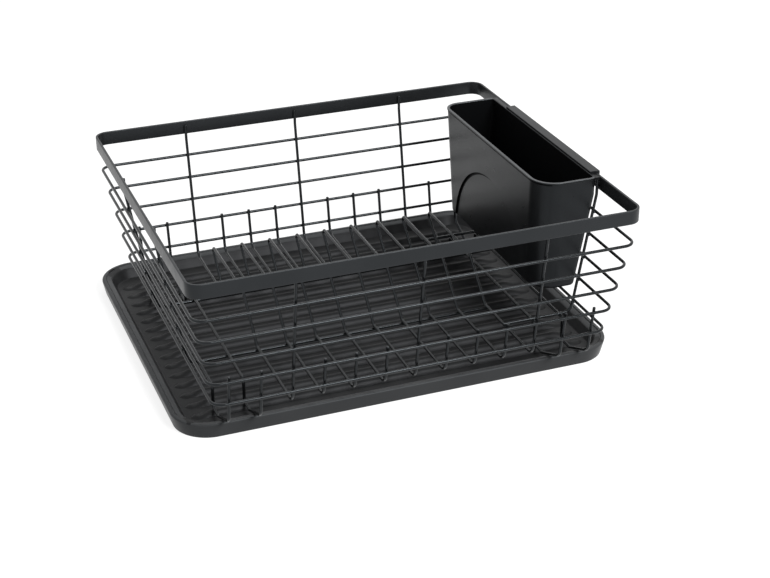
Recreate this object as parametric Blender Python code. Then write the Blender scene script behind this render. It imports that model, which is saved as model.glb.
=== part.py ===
"""Dish drainer: a wire basket with plate slots, a hook-on cutlery caddy and a ribbed drip tray.

Everything is in metres with +Z up, and the object stands on z = 0. The width runs along X and the depth
along Y, with the front at -Y. The origin is the middle of the object's own outline on the counter. The
basket is a flat rim band, five closed hoops, thirteen bent wires from front to back and four wires from
the side walls. The wires are welded where they cross, and each weld is a narrow gap here.
"""

import math

import bmesh
import bpy
from mathutils import Vector

# Gaps between neighbouring pieces
WELD_GAP = 0.0003
SEAT_GAP = 0.0003

# Drip tray, the piece that stands on the counter, set out from the rim of the basket above it
TRAY_SIDE_MARGIN = 0.0050
TRAY_FRONT_OVERHANG = 0.0340
TRAY_BACK_MARGIN = 0.0205
TRAY_CORNER_RADIUS = 0.0305
TRAY_HEIGHT = 0.013
TRAY_WALL = 0.0020
TRAY_FLOOR = 0.0030
TRAY_DRAFT = 0.0020
TRAY_LIP_WIDTH = 0.0036
TRAY_LEDGE_WIDTH = 0.0016
TRAY_LEDGE_DROP = 0.0014
TRAY_SLOPE_WIDTH = 0.0072
TRAY_EDGE_RADIUS = 0.0007

# Ribs on the tray's floor, which run from side to side
RIB_COUNT = 15
RIB_SIDE_MARGIN = 0.0192
RIB_HEIGHT = 0.0040
RIB_WIDTH = 0.0100
RIB_CREST_WIDTH = 0.0026
RIB_TAPER_LENGTH = 0.026
RIB_END_MARGIN = 0.0030
RIB_ROOT_DEPTH = 0.0010

# Basket, whose heights are taken from the undersides of its own feet
BASKET_HEIGHT = 0.1387
WIRE_DIAMETER = 0.0024
RIM_WIDTH = 0.350
RIM_DEPTH = 0.305
RIM_CORNER_RADIUS = 0.0110
BAND_HEIGHT = 0.0112
BAND_THICKNESS = 0.0020
BAND_EDGE_RADIUS = 0.0004

# Hoops round the basket, from the top one down to the smallest
HOOP_COUNT = 5
TOP_HOOP_DROP = 0.0299
BOTTOM_HOOP_RISE = 0.0111
HOOP_CORNER_RADIUS = 0.0092

# How far the wall wires come in between their knee and the bottom hoop
SIDE_WALL_RUN = 0.0162
FRONT_WALL_RUN = 0.0154

# Wires from front to back, whose middle nine carry the plates
RACK_WIRE_COUNT = 13
END_WIRE_MARGIN = 0.0077
FULL_HEIGHT_WIRES = (2, 6, 10)
END_WIRES_PER_SIDE = 2
FULL_WIRE_END_DROP = 0.0030
SHORT_WIRE_HOOP = 4
SHORT_WIRE_NUB = 0.0024
WALL_KNEE_DROP = 0.0040
KNEE_BEND_RADIUS = 0.0060
FLOOR_BEND_RADIUS = 0.0080

# Raised slots that hold the plates, which lean back as they rise
SLOT_RISE = 0.0323
SLOT_LEAN = 0.0335
SLOT_FRONT_LANDING = 0.0886
SLOT_REAR_LANDING = 0.0833
SLOT_BEND_RADIUS = 0.0029

# Feet, which are bent down from the two wires at each end of the basket
FOOT_DROP = 0.0195
FOOT_LENGTH = 0.0145
FOOT_LIP_DISTANCE = 0.0175
SHOULDER_OVER_LIP = 0.0080
FOOT_BEND_RADIUS = 0.0032

# Wires from the left and right walls, which run in over or under the floor of the basket
SIDE_WIRE_END_OVERHANG = 0.0030
RIGHT_WIRE_STEP_MARGIN = 0.0025

# Cutlery caddy, which hangs inside the right-hand wall
CADDY_FLOOR_CLEARANCE = 0.0260
CADDY_FRONT_MARGIN = 0.0645
CADDY_BACK_MARGIN = 0.0438
CADDY_FRONT_DRAFT = 0.0015
CADDY_BACK_DRAFT = 0.0125
CADDY_TOP_BREADTH = 0.0485
CADDY_FACE_DRAFT = 0.0006
CADDY_WALL = 0.0020
CADDY_FLOOR = 0.0025
CADDY_FRONT_RADIUS = 0.0200
CADDY_BACK_RADIUS = 0.0130
CADDY_OUTER_RADIUS = 0.0045
CADDY_BASE_RADIUS = 0.0040
CADDY_BEAD = 0.0005
CADDY_BEAD_HEIGHT = 0.0016
DRAIN_HOLE_RADIUS = 0.0030
DRAIN_HOLE_PITCH = 0.0260
DRAIN_HOLE_COUNT = 5

# Round relief sunk into the caddy's broad face
RELIEF_RADIUS = 0.0675
RELIEF_DEPTH = 0.0011
RELIEF_CENTRE_DROP = 0.0063

# Hook of the caddy, a flange over the rim band with a lip outside it
HOOK_FRONT_MARGIN = 0.0087
HOOK_BACK_MARGIN = 0.0287
HOOK_THICKNESS = 0.0014
HOOK_LIP_THICKNESS = 0.0016
HOOK_LIP_DEPTH = 0.0086
HOOK_ROOT_DEPTH = 0.0014
HOOK_EDGE_RADIUS = 0.0005

# How finely round forms are divided
BEND_STEP = math.radians(24)
HOOP_BEND_STEP = math.radians(15)
WIRE_BEVEL_RESOLUTION = 2
TRAY_CORNER_STEPS = 10
BAND_CORNER_STEPS = 8
CADDY_CORNER_STEPS = 7
RELIEF_STEPS = 72
DRAIN_HOLE_STEPS = 12
CUT_OVERRUN = 0.0040

# Shares of the sizes that they follow
RIB_SHOULDER_WIDTH_SHARE = 0.62
RIB_SHOULDER_HEIGHT_SHARE = 0.55
RIB_TIP_WIDTH_SHARE = 0.30
RIB_TIP_SINK_SHARE = 0.08
RIB_MID_TAPER_SHARE = 0.5
RIB_MID_HEIGHT_SHARE = 0.72
RIB_MID_WIDTH_SHARE = 0.80
LEAST_CORNER_SHARE = 0.25

# Colours, as linear values
SATIN_BLACK_COLOUR = (0.018, 0.019, 0.020, 1.0)
TRAY_COLOUR = (0.022, 0.023, 0.024, 1.0)
CADDY_COLOUR = (0.020, 0.021, 0.022, 1.0)

# Places that follow from the sizes above
WIRE_RADIUS = WIRE_DIAMETER / 2
WIRE_SPACING = WIRE_DIAMETER + WELD_GAP
TRAY_WIDTH = RIM_WIDTH + TRAY_SIDE_MARGIN * 2
TRAY_DEPTH = RIM_DEPTH - TRAY_FRONT_OVERHANG + TRAY_BACK_MARGIN
TRAY_PLACE = TRAY_FRONT_OVERHANG / 2
BASKET_PLACE = -TRAY_BACK_MARGIN / 2
BASKET_BASE = TRAY_FLOOR + RIB_HEIGHT + SEAT_GAP
FOOT_LEVEL = WIRE_RADIUS
FLOOR_LEVEL = FOOT_LEVEL + FOOT_DROP
SHOULDER_LEVEL = TRAY_HEIGHT + SHOULDER_OVER_LIP - BASKET_BASE
TOP_HOOP_LEVEL = BASKET_HEIGHT - TOP_HOOP_DROP
BOTTOM_HOOP_LEVEL = FLOOR_LEVEL + BOTTOM_HOOP_RISE
HOOP_PITCH = (TOP_HOOP_LEVEL - BOTTOM_HOOP_LEVEL) / (HOOP_COUNT - 1)
KNEE_LEVEL = BASKET_HEIGHT - BAND_HEIGHT - WALL_KNEE_DROP
SIDE_LEAN = SIDE_WALL_RUN / (KNEE_LEVEL - BOTTOM_HOOP_LEVEL)
FRONT_LEAN = FRONT_WALL_RUN / (KNEE_LEVEL - BOTTOM_HOOP_LEVEL)
CADDY_BASE = FLOOR_LEVEL + CADDY_FLOOR_CLEARANCE
CADDY_HEIGHT = BASKET_HEIGHT - CADDY_BASE
CADDY_TOP_LENGTH = RIM_DEPTH - BAND_THICKNESS * 2 - CADDY_FRONT_MARGIN - CADDY_BACK_MARGIN
CADDY_PLACE = (CADDY_FRONT_MARGIN - CADDY_BACK_MARGIN) / 2


def wall_seat(rim_size):
    """Half distance between wires that stand against the inside of the band."""
    return rim_size / 2 - BAND_THICKNESS - WELD_GAP - WIRE_RADIUS


def depth_place(level):
    """Half distance between the front and back wall wires at a height."""
    return wall_seat(RIM_DEPTH) - FRONT_LEAN * max(KNEE_LEVEL - level, 0)


def width_place(level):
    """Half distance between the left and right wall wires at a height."""
    return wall_seat(RIM_WIDTH) - SIDE_LEAN * max(KNEE_LEVEL - level, 0)


def rack_wire_place(index):
    """X of a rack wire, counted from the left-hand end of the basket."""
    reach = width_place(FLOOR_LEVEL) - END_WIRE_MARGIN
    return reach * (2 * index / (RACK_WIRE_COUNT - 1) - 1)


def foot_step_place():
    """Half distance between the steps of the feet, which stand inside the tray's front lip."""
    return RIM_DEPTH / 2 - TRAY_FRONT_OVERHANG - FOOT_LIP_DISTANCE - FOOT_LENGTH


def slot_front_place():
    """Y of the corner where the slots' front legs meet the floor."""
    return SLOT_FRONT_LANDING - depth_place(FLOOR_LEVEL)


def slot_rear_place():
    """Y of the corner where the slots' rear legs meet the floor."""
    return depth_place(FLOOR_LEVEL) - SLOT_REAR_LANDING


def hoop_level(number):
    """Height of a hoop's centre line, with hoop 1 at the top."""
    return TOP_HOOP_LEVEL - HOOP_PITCH * (number - 1)


def hoop_half_sizes(number):
    """Half width and half depth of a hoop's centre line, outside the wall wires."""
    level = hoop_level(number)
    width_out = WIRE_SPACING * math.hypot(1, SIDE_LEAN)
    depth_out = WIRE_SPACING * math.hypot(1, FRONT_LEAN)
    return width_place(level) + width_out, depth_place(level) + depth_out


def clear_scene():
    """Remove every object that the scene starts with."""
    for item in list(bpy.data.objects):
        bpy.data.objects.remove(item, do_unlink=True)


def make_material(name, colour, roughness, metallic):
    """Principled material of one finish."""
    material = bpy.data.materials.new(name)
    material.use_nodes = True
    shader = material.node_tree.nodes["Principled BSDF"]
    shader.inputs["Base Color"].default_value = colour
    shader.inputs["Roughness"].default_value = roughness
    shader.inputs["Metallic"].default_value = metallic
    material.diffuse_color = colour
    return material


def add_object(name, data, material, parent=None, location=(0, 0, 0)):
    """Link a new object and give it its own material."""
    item = bpy.data.objects.new(name, data)
    data.materials.clear()
    data.materials.append(material)
    item.parent = parent
    item.location = location
    bpy.context.scene.collection.objects.link(item)
    return item


def add_empty(name, location, parent=None):
    """Empty that carries the pieces of one body."""
    empty = bpy.data.objects.new(name, None)
    empty.location = location
    empty.parent = parent
    bpy.context.scene.collection.objects.link(empty)
    return empty


def finish_mesh(mesh, smooth_angle):
    """Point the faces outwards and shade the round stretches smooth."""
    shape = bmesh.new()
    shape.from_mesh(mesh)
    bmesh.ops.recalc_face_normals(shape, faces=shape.faces)
    shape.to_mesh(mesh)
    shape.free()
    mesh.shade_smooth()
    mesh.set_sharp_from_angle(angle=smooth_angle)


SMOOTH_ANGLE = math.radians(38)


def loft(name, loops, closed_ring=False):
    """Mesh through loops of equal count, capped at both ends or joined into a ring."""
    shape = bmesh.new()
    rings = [[shape.verts.new(point) for point in loop] for loop in loops]
    pairs = list(zip(rings, rings[1:]))
    if closed_ring:
        pairs.append((rings[-1], rings[0]))
    for lower, upper in pairs:
        for index in range(len(lower)):
            after = (index + 1) % len(lower)
            shape.faces.new((lower[index], lower[after], upper[after], upper[index]))
    if not closed_ring:
        shape.faces.new(rings[0])
        shape.faces.new(rings[-1])
    mesh = bpy.data.meshes.new(name)
    shape.to_mesh(mesh)
    shape.free()
    finish_mesh(mesh, SMOOTH_ANGLE)
    return mesh


def rounded_outline(low, high, radii, level, steps):
    """Loop round a rectangle, with a radius at each corner, from the front right corner round."""
    (x_low, y_low), (x_high, y_high) = low, high
    corners = (
        (x_high, y_low, -1, 1, -90),
        (x_high, y_high, -1, -1, 0),
        (x_low, y_high, 1, -1, 90),
        (x_low, y_low, 1, 1, 180),
    )
    loop = []
    for (x, y, x_in, y_in, start), radius in zip(corners, radii):
        for step in range(steps + 1):
            angle = math.radians(start + 90 * step / steps)
            centre = Vector((x + x_in * radius, y + y_in * radius, level))
            loop.append(centre + Vector((math.cos(angle), math.sin(angle), 0)) * radius)
    return loop


def inset_outline(width, depth, radius, inset, level, steps):
    """Rounded rectangle about the origin, drawn in by an inset that keeps its corners parallel."""
    x = width / 2 - inset
    y = depth / 2 - inset
    return rounded_outline((-x, -y), (x, y), [radius - inset] * 4, level, steps)


def rounded_path(points, radii, bend_step=BEND_STEP):
    """Points of a bent wire: straight runs, and an arc at each inner point."""
    path = [Vector(points[0])]
    for before, corner, after, radius in zip(points, points[1:], points[2:], radii):
        corner = Vector(corner)
        back = (Vector(before) - corner).normalized()
        ahead = (Vector(after) - corner).normalized()
        turn = math.pi - back.angle(ahead)
        reach = radius * math.tan(turn / 2)
        centre = corner + (back + ahead).normalized() * radius / math.cos(turn / 2)
        first = corner + back * reach - centre
        last = corner + ahead * reach - centre
        steps = max(math.ceil(turn / bend_step), 1)
        for step in range(steps + 1):
            share = step / steps
            blend = math.sin(turn * (1 - share)) * first + math.sin(turn * share) * last
            path.append(centre + blend / math.sin(turn))
    path.append(Vector(points[-1]))
    return path


def wire_curve(name, path, closed=False):
    """Round wire along a path, with capped ends."""
    curve = bpy.data.curves.new(name, "CURVE")
    curve.dimensions = "3D"
    curve.bevel_depth = WIRE_RADIUS
    curve.bevel_resolution = WIRE_BEVEL_RESOLUTION
    curve.use_fill_caps = True
    spline = curve.splines.new("POLY")
    spline.points.add(len(path) - 1)
    for target, point in zip(spline.points, path):
        target.co = (*point, 1)
    spline.use_cyclic_u = closed
    spline.use_smooth = True
    return curve


def apply_boolean(target, cutter, operation):
    """Join or cut a mesh object with another and drop the second one."""
    change = target.modifiers.new(operation.lower(), "BOOLEAN")
    change.operation = operation
    change.solver = "EXACT"
    change.object = cutter
    bpy.context.view_layer.update()
    graph = bpy.context.evaluated_depsgraph_get()
    result = bpy.data.meshes.new_from_object(target.evaluated_get(graph))
    target.modifiers.remove(change)
    target.data = result
    bpy.data.objects.remove(cutter, do_unlink=True)


def tray_shell():
    """Shallow tray with a hollow, sloping wall and a stepped lip."""
    ledge_level = TRAY_HEIGHT - TRAY_LEDGE_DROP
    ledge_inset = TRAY_LIP_WIDTH + TRAY_LEDGE_WIDTH
    floor_inset = ledge_inset + TRAY_SLOPE_WIDTH
    slope_rise = ledge_level - TRAY_FLOOR
    # The hollow under the slope leaves the same wall everywhere
    lean_wall = TRAY_WALL * math.hypot(TRAY_SLOPE_WIDTH, slope_rise) / slope_rise
    skirt_inset = TRAY_DRAFT + TRAY_WALL
    hollow_level = ledge_level - TRAY_WALL
    hollow_top_inset = ledge_inset
    edge = TRAY_EDGE_RADIUS
    section = (
        (floor_inset + lean_wall - TRAY_WALL, 0),
        (hollow_top_inset + lean_wall - TRAY_WALL, hollow_level),
        (TRAY_WALL, hollow_level),
        (skirt_inset, 0),
        (TRAY_DRAFT + edge, 0),
        (TRAY_DRAFT, edge),
        (0, TRAY_HEIGHT - edge * 2),
        (edge / 2, TRAY_HEIGHT - edge / 2),
        (edge * 2, TRAY_HEIGHT),
        (TRAY_LIP_WIDTH - edge, TRAY_HEIGHT),
        (TRAY_LIP_WIDTH, TRAY_HEIGHT - edge),
        (TRAY_LIP_WIDTH + edge / 2, ledge_level),
        (ledge_inset, ledge_level - edge / 2),
        (floor_inset - edge * 2, TRAY_FLOOR + edge),
        (floor_inset + edge, TRAY_FLOOR),
    )
    loops = [
        inset_outline(TRAY_WIDTH, TRAY_DEPTH, TRAY_CORNER_RADIUS, inset, level, TRAY_CORNER_STEPS)
        for inset, level in section
    ]
    return loft("drip_tray", loops), floor_inset


def rib_section(x, place, width_share, rise):
    """Points across one rib at x, from its front foot over the crest to its rear foot."""
    half = RIB_WIDTH / 2 * width_share
    crest = RIB_CREST_WIDTH / 2 * width_share
    shoulder = half * RIB_SHOULDER_WIDTH_SHARE
    shoulder_rise = rise * RIB_SHOULDER_HEIGHT_SHARE
    root = TRAY_FLOOR - RIB_ROOT_DEPTH
    return [
        Vector((x, place - half, root)),
        Vector((x, place - half, TRAY_FLOOR)),
        Vector((x, place - shoulder, TRAY_FLOOR + shoulder_rise)),
        Vector((x, place - crest, TRAY_FLOOR + rise)),
        Vector((x, place + crest, TRAY_FLOOR + rise)),
        Vector((x, place + shoulder, TRAY_FLOOR + shoulder_rise)),
        Vector((x, place + half, TRAY_FLOOR)),
        Vector((x, place + half, root)),
    ]


def tray_ribs(floor_inset):
    """All the ribs as one mesh of separate bars with tapered ends."""
    shape = bmesh.new()
    reach = TRAY_WIDTH / 2 - floor_inset - RIB_END_MARGIN
    sink = -RIB_HEIGHT * RIB_TIP_SINK_SHARE
    stations = (
        (reach, RIB_TIP_WIDTH_SHARE, sink),
        (reach - RIB_TAPER_LENGTH * RIB_MID_TAPER_SHARE, RIB_MID_WIDTH_SHARE, RIB_HEIGHT * RIB_MID_HEIGHT_SHARE),
        (reach - RIB_TAPER_LENGTH, 1, RIB_HEIGHT),
    )
    side = TRAY_DEPTH / 2 - floor_inset - RIB_SIDE_MARGIN
    for number in range(RIB_COUNT):
        place = side * (2 * number / (RIB_COUNT - 1) - 1)
        left = [rib_section(-x, place, width, rise) for x, width, rise in stations]
        right = [rib_section(x, place, width, rise) for x, width, rise in reversed(stations)]
        rings = [[shape.verts.new(point) for point in loop] for loop in left + right]
        for lower, upper in zip(rings, rings[1:]):
            for index in range(len(lower)):
                after = (index + 1) % len(lower)
                shape.faces.new((lower[index], lower[after], upper[after], upper[index]))
        shape.faces.new(rings[0])
        shape.faces.new(rings[-1])
    mesh = bpy.data.meshes.new("ribs")
    shape.to_mesh(mesh)
    shape.free()
    finish_mesh(mesh, SMOOTH_ANGLE)
    return mesh


def build_tray(material):
    """Drip tray, with its ribs joined to the floor."""
    shell, floor_inset = tray_shell()
    tray = add_object("drip_tray", shell, material, location=(0, TRAY_PLACE, 0))
    ribs = add_object("rib_guide", tray_ribs(floor_inset), material, location=(0, TRAY_PLACE, 0))
    apply_boolean(tray, ribs, "UNION")
    finish_mesh(tray.data, SMOOTH_ANGLE)


def build_rim(basket, material):
    """Flat band round the top of the basket, with softened edges."""
    edge = BAND_EDGE_RADIUS
    low = BASKET_HEIGHT - BAND_HEIGHT
    section = (
        (edge, low),
        (0, low + edge),
        (0, BASKET_HEIGHT - edge),
        (edge, BASKET_HEIGHT),
        (BAND_THICKNESS - edge, BASKET_HEIGHT),
        (BAND_THICKNESS, BASKET_HEIGHT - edge),
        (BAND_THICKNESS, low + edge),
        (BAND_THICKNESS - edge, low),
    )
    loops = [
        inset_outline(RIM_WIDTH, RIM_DEPTH, RIM_CORNER_RADIUS, inset, level, BAND_CORNER_STEPS)
        for inset, level in section
    ]
    add_object("rim_band", loft("rim_band", loops, closed_ring=True), material, basket)


def build_hoops(basket, material):
    """Closed hoops that go round the outside of the wall wires."""
    steps = math.ceil(math.pi / 2 / HOOP_BEND_STEP)
    for number in range(1, HOOP_COUNT + 1):
        x, y = hoop_half_sizes(number)
        radii = [HOOP_CORNER_RADIUS] * 4
        path = rounded_outline((-x, -y), (x, y), radii, 0, steps)
        name = f"hoop_{number}"
        add_object(name, wire_curve(name, path, closed=True), material, basket, (0, 0, hoop_level(number)))


def short_wire_top():
    """Height where the short wires end, just above the hoop that they are welded to."""
    return hoop_level(SHORT_WIRE_HOOP) + WIRE_RADIUS + SHORT_WIRE_NUB


def plate_wire_path(full_height):
    """Path of a plate wire in the YZ plane, from the back wall over the slot to the front wall."""
    corner = depth_place(FLOOR_LEVEL)
    peak = FLOOR_LEVEL + SLOT_RISE
    points = [
        (0, corner, FLOOR_LEVEL),
        (0, slot_rear_place(), FLOOR_LEVEL),
        (0, slot_rear_place() + SLOT_LEAN, peak),
        (0, slot_front_place() + SLOT_LEAN, peak),
        (0, slot_front_place(), FLOOR_LEVEL),
        (0, -corner, FLOOR_LEVEL),
    ]
    radii = [FLOOR_BEND_RADIUS] + [SLOT_BEND_RADIUS] * 4 + [FLOOR_BEND_RADIUS]
    if full_height:
        end = BASKET_HEIGHT - FULL_WIRE_END_DROP
        seat = depth_place(end)
        points = [(0, seat, end), (0, seat, KNEE_LEVEL), *points, (0, -seat, KNEE_LEVEL), (0, -seat, end)]
        radii = [KNEE_BEND_RADIUS, *radii, KNEE_BEND_RADIUS]
    else:
        end = short_wire_top()
        points = [(0, depth_place(end), end), *points, (0, -depth_place(end), end)]
    return rounded_path(points, radii)


def end_wire_path():
    """Path of an end wire, which steps down to a foot near the front and near the back."""
    end = short_wire_top()
    step = foot_step_place()
    half = [
        (0, depth_place(end), end),
        (0, depth_place(SHOULDER_LEVEL), SHOULDER_LEVEL),
        (0, step + FOOT_LENGTH, FOOT_LEVEL),
        (0, step, FOOT_LEVEL),
        (0, step, FLOOR_LEVEL),
    ]
    mirrored = [(x, -y, z) for x, y, z in reversed(half)]
    radii = [FLOOR_BEND_RADIUS] + [FOOT_BEND_RADIUS] * 6 + [FLOOR_BEND_RADIUS]
    return rounded_path(half + mirrored, radii)


def build_rack_wires(basket, material):
    """Thirteen wires from front to back, in three shapes that share their curves."""
    full = wire_curve("plate_wire_full", plate_wire_path(True))
    short = wire_curve("plate_wire_short", plate_wire_path(False))
    ends = wire_curve("end_wire", end_wire_path())
    last = RACK_WIRE_COUNT - END_WIRES_PER_SIDE
    for index in range(RACK_WIRE_COUNT):
        if END_WIRES_PER_SIDE <= index < last:
            curve = full if index in FULL_HEIGHT_WIRES else short
            name = f"plate_wire_{index - END_WIRES_PER_SIDE + 1}"
        else:
            curve = ends
            name = f"foot_wire_{index + 1 if index < END_WIRES_PER_SIDE else index - last + 3}"
        add_object(name, curve, material, basket, (rack_wire_place(index), 0, 0))


def side_wire_path(side, level, end_place):
    """Path of a side wire in the XZ plane, from the band down the wall and in along the floor to its end."""
    end = BASKET_HEIGHT - FULL_WIRE_END_DROP
    seat = width_place(end)
    points = [
        (side * seat, 0, end),
        (side * seat, 0, KNEE_LEVEL),
        (side * width_place(level), 0, level),
        (end_place, 0, level),
    ]
    return rounded_path(points, [KNEE_BEND_RADIUS, FLOOR_BEND_RADIUS])


def build_side_wires(basket, material):
    """Two wires under the floor from the left wall, and two over it from the right wall."""
    turn = math.atan2(SLOT_RISE, SLOT_LEAN)
    front_place = slot_front_place() - SLOT_BEND_RADIUS * math.tan(turn / 2)
    rear_place = slot_rear_place() + SLOT_BEND_RADIUS / math.tan(turn / 2)
    right_place = foot_step_place() - RIGHT_WIRE_STEP_MARGIN
    under = FLOOR_LEVEL - WIRE_SPACING
    over = FLOOR_LEVEL + WIRE_SPACING
    last_plate_wire = rack_wire_place(RACK_WIRE_COUNT - 1 - END_WIRES_PER_SIDE)
    last_foot_wire = rack_wire_place(RACK_WIRE_COUNT - 1)
    overhang = SIDE_WIRE_END_OVERHANG
    wires = (
        ("side_wire_left_front", -1, under, last_plate_wire + overhang, front_place),
        ("side_wire_left_rear", -1, under, last_foot_wire + overhang, rear_place),
        ("side_wire_right_front", 1, over, last_plate_wire - overhang, -right_place),
        ("side_wire_right_rear", 1, over, last_plate_wire - overhang, right_place),
    )
    for name, side, level, end_place, place in wires:
        path = side_wire_path(side, level, end_place)
        add_object(name, wire_curve(name, path), material, basket, (0, place, 0))


def caddy_outer_place(level):
    """X of the caddy's outer wall at a height, resting against the right-hand side wires."""
    return width_place(level) - (WIRE_RADIUS + SEAT_GAP) * math.hypot(1, SIDE_LEAN)


def caddy_face_top():
    """X of the caddy's broad face at its top."""
    return caddy_outer_place(BASKET_HEIGHT) - CADDY_TOP_BREADTH


def caddy_outline(inset, rise):
    """Loop round the caddy's outer wall, drawn in by an inset, at a height above its base."""
    level = CADDY_BASE + rise
    height_share = rise / CADDY_HEIGHT
    x_high = caddy_outer_place(level)
    x_low = caddy_face_top() + CADDY_FACE_DRAFT * (1 - height_share)
    y_low = CADDY_PLACE - CADDY_TOP_LENGTH / 2 + CADDY_FRONT_DRAFT * (1 - height_share)
    y_high = CADDY_PLACE + CADDY_TOP_LENGTH / 2 - CADDY_BACK_DRAFT * (1 - height_share)
    radii = (CADDY_OUTER_RADIUS, CADDY_OUTER_RADIUS, CADDY_BACK_RADIUS, CADDY_FRONT_RADIUS)
    low = (x_low + inset, y_low + inset)
    high = (x_high - inset, y_high - inset)
    least = CADDY_WALL * LEAST_CORNER_SHARE
    return rounded_outline(low, high, [max(radius - inset, least) for radius in radii], level, CADDY_CORNER_STEPS)


def caddy_shell():
    """Open-topped tapered pot with a soft base edge and a thin bead round its mouth."""
    soft = CADDY_BASE_RADIUS
    bend = soft * (1 - math.sqrt(0.5))
    inner_soft = CADDY_FLOOR + CADDY_BASE_RADIUS / 2
    knee = KNEE_LEVEL - CADDY_BASE
    section = (
        (soft, 0),
        (bend, bend),
        (0, soft),
        (0, knee),
        (0, CADDY_HEIGHT - CADDY_BEAD_HEIGHT),
        (-CADDY_BEAD, CADDY_HEIGHT - CADDY_BEAD_HEIGHT + CADDY_BEAD),
        (-CADDY_BEAD, CADDY_HEIGHT - CADDY_BEAD),
        (0, CADDY_HEIGHT),
        (CADDY_WALL - CADDY_BEAD, CADDY_HEIGHT),
        (CADDY_WALL, CADDY_HEIGHT - CADDY_BEAD),
        (CADDY_WALL, knee),
        (CADDY_WALL, inner_soft),
        (CADDY_WALL + CADDY_BASE_RADIUS / 2, CADDY_FLOOR),
    )
    loops = [caddy_outline(inset, rise) for inset, rise in section]
    return loft("cutlery_caddy", loops)


def relief_cutter(material):
    """Disc that sinks the round relief, lying parallel to the tapered broad face."""
    tilt = math.atan2(CADDY_FACE_DRAFT, CADDY_HEIGHT)
    shape = bmesh.new()
    bmesh.ops.create_cone(
        shape,
        cap_ends=True,
        segments=RELIEF_STEPS,
        radius1=RELIEF_RADIUS,
        radius2=RELIEF_RADIUS,
        depth=CUT_OVERRUN,
    )
    mesh = bpy.data.meshes.new("relief_guide")
    shape.to_mesh(mesh)
    shape.free()
    cutter = add_object("relief_guide", mesh, material)
    face = caddy_face_top() + CADDY_FACE_DRAFT + RELIEF_CENTRE_DROP * math.tan(tilt)
    sink = (RELIEF_DEPTH - CUT_OVERRUN / 2) / math.cos(tilt)
    cutter.location = (face + sink, CADDY_PLACE, CADDY_BASE - RELIEF_CENTRE_DROP)
    cutter.rotation_euler = (0, math.radians(90) - tilt, 0)
    return cutter


def bar_along_depth(name, outline, ends, material):
    """Bar of constant section in the XZ plane, between two places along Y."""
    loops = [[Vector((x, y, z)) for x, z in outline] for y in ends]
    return add_object(name, loft(name, loops), material)


def shelf_bar(material):
    """Shelf from the caddy's outer wall to the band, just above the ends of the side wires."""
    wall_in = caddy_outer_place(BASKET_HEIGHT) - CADDY_WALL + WELD_GAP
    band_in = RIM_WIDTH / 2 - BAND_THICKNESS - SEAT_GAP
    under = BASKET_HEIGHT - FULL_WIRE_END_DROP + SEAT_GAP
    over = BASKET_HEIGHT - CADDY_BEAD / 2
    outline = ((wall_in, under), (band_in, under), (band_in, over), (wall_in, over))
    half = CADDY_TOP_LENGTH / 2 - CADDY_BEAD
    return bar_along_depth("shelf_guide", outline, (CADDY_PLACE - half, CADDY_PLACE + half), material)


def hook_bar(material):
    """Flange over the band and its outer lip, as a bar of constant section along Y."""
    wall_out = RIM_WIDTH / 2 - BAND_THICKNESS - SEAT_GAP * 2
    wall_in = caddy_outer_place(BASKET_HEIGHT) - CADDY_WALL + WELD_GAP * 2
    lip_in = RIM_WIDTH / 2 + SEAT_GAP
    lip_out = lip_in + HOOK_LIP_THICKNESS
    under = BASKET_HEIGHT + SEAT_GAP
    over = under + HOOK_THICKNESS
    edge = HOOK_EDGE_RADIUS
    outline = (
        (wall_in, BASKET_HEIGHT - HOOK_ROOT_DEPTH),
        (wall_out, BASKET_HEIGHT - HOOK_ROOT_DEPTH),
        (wall_out, under),
        (lip_in, under),
        (lip_in, over - HOOK_LIP_DEPTH),
        (lip_out - edge, over - HOOK_LIP_DEPTH),
        (lip_out, over - HOOK_LIP_DEPTH + edge),
        (lip_out, over - edge),
        (lip_out - edge, over),
        (wall_in + edge, over),
        (wall_in, over - edge),
    )
    half = CADDY_TOP_LENGTH / 2
    ends = (CADDY_PLACE - half + HOOK_FRONT_MARGIN, CADDY_PLACE + half - HOOK_BACK_MARGIN)
    return bar_along_depth("hook_guide", outline, ends, material)


def drain_cutter(material):
    """Row of round holes through the caddy's floor."""
    shape = bmesh.new()
    level = CADDY_BASE + CADDY_FLOOR / 2
    middle = (caddy_outer_place(CADDY_BASE) + caddy_face_top() + CADDY_FACE_DRAFT) / 2
    floor_middle = CADDY_PLACE + (CADDY_FRONT_DRAFT - CADDY_BACK_DRAFT) / 2
    for number in range(DRAIN_HOLE_COUNT):
        place = floor_middle + (number - (DRAIN_HOLE_COUNT - 1) / 2) * DRAIN_HOLE_PITCH
        hole = bmesh.ops.create_cone(
            shape,
            cap_ends=True,
            segments=DRAIN_HOLE_STEPS,
            radius1=DRAIN_HOLE_RADIUS,
            radius2=DRAIN_HOLE_RADIUS,
            depth=CADDY_FLOOR + CUT_OVERRUN,
        )
        bmesh.ops.translate(shape, verts=hole["verts"], vec=(middle, place, level))
    mesh = bpy.data.meshes.new("drain_guide")
    shape.to_mesh(mesh)
    shape.free()
    return add_object("drain_guide", mesh, material)


def build_caddy(basket_location, material):
    """Cutlery caddy: shell, shelf, hook, round relief and drain holes in one moulding."""
    caddy = add_object("cutlery_caddy", caddy_shell(), material)
    apply_boolean(caddy, shelf_bar(material), "UNION")
    apply_boolean(caddy, hook_bar(material), "UNION")
    apply_boolean(caddy, relief_cutter(material), "DIFFERENCE")
    apply_boolean(caddy, drain_cutter(material), "DIFFERENCE")
    finish_mesh(caddy.data, SMOOTH_ANGLE)
    caddy.location = basket_location


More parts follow.
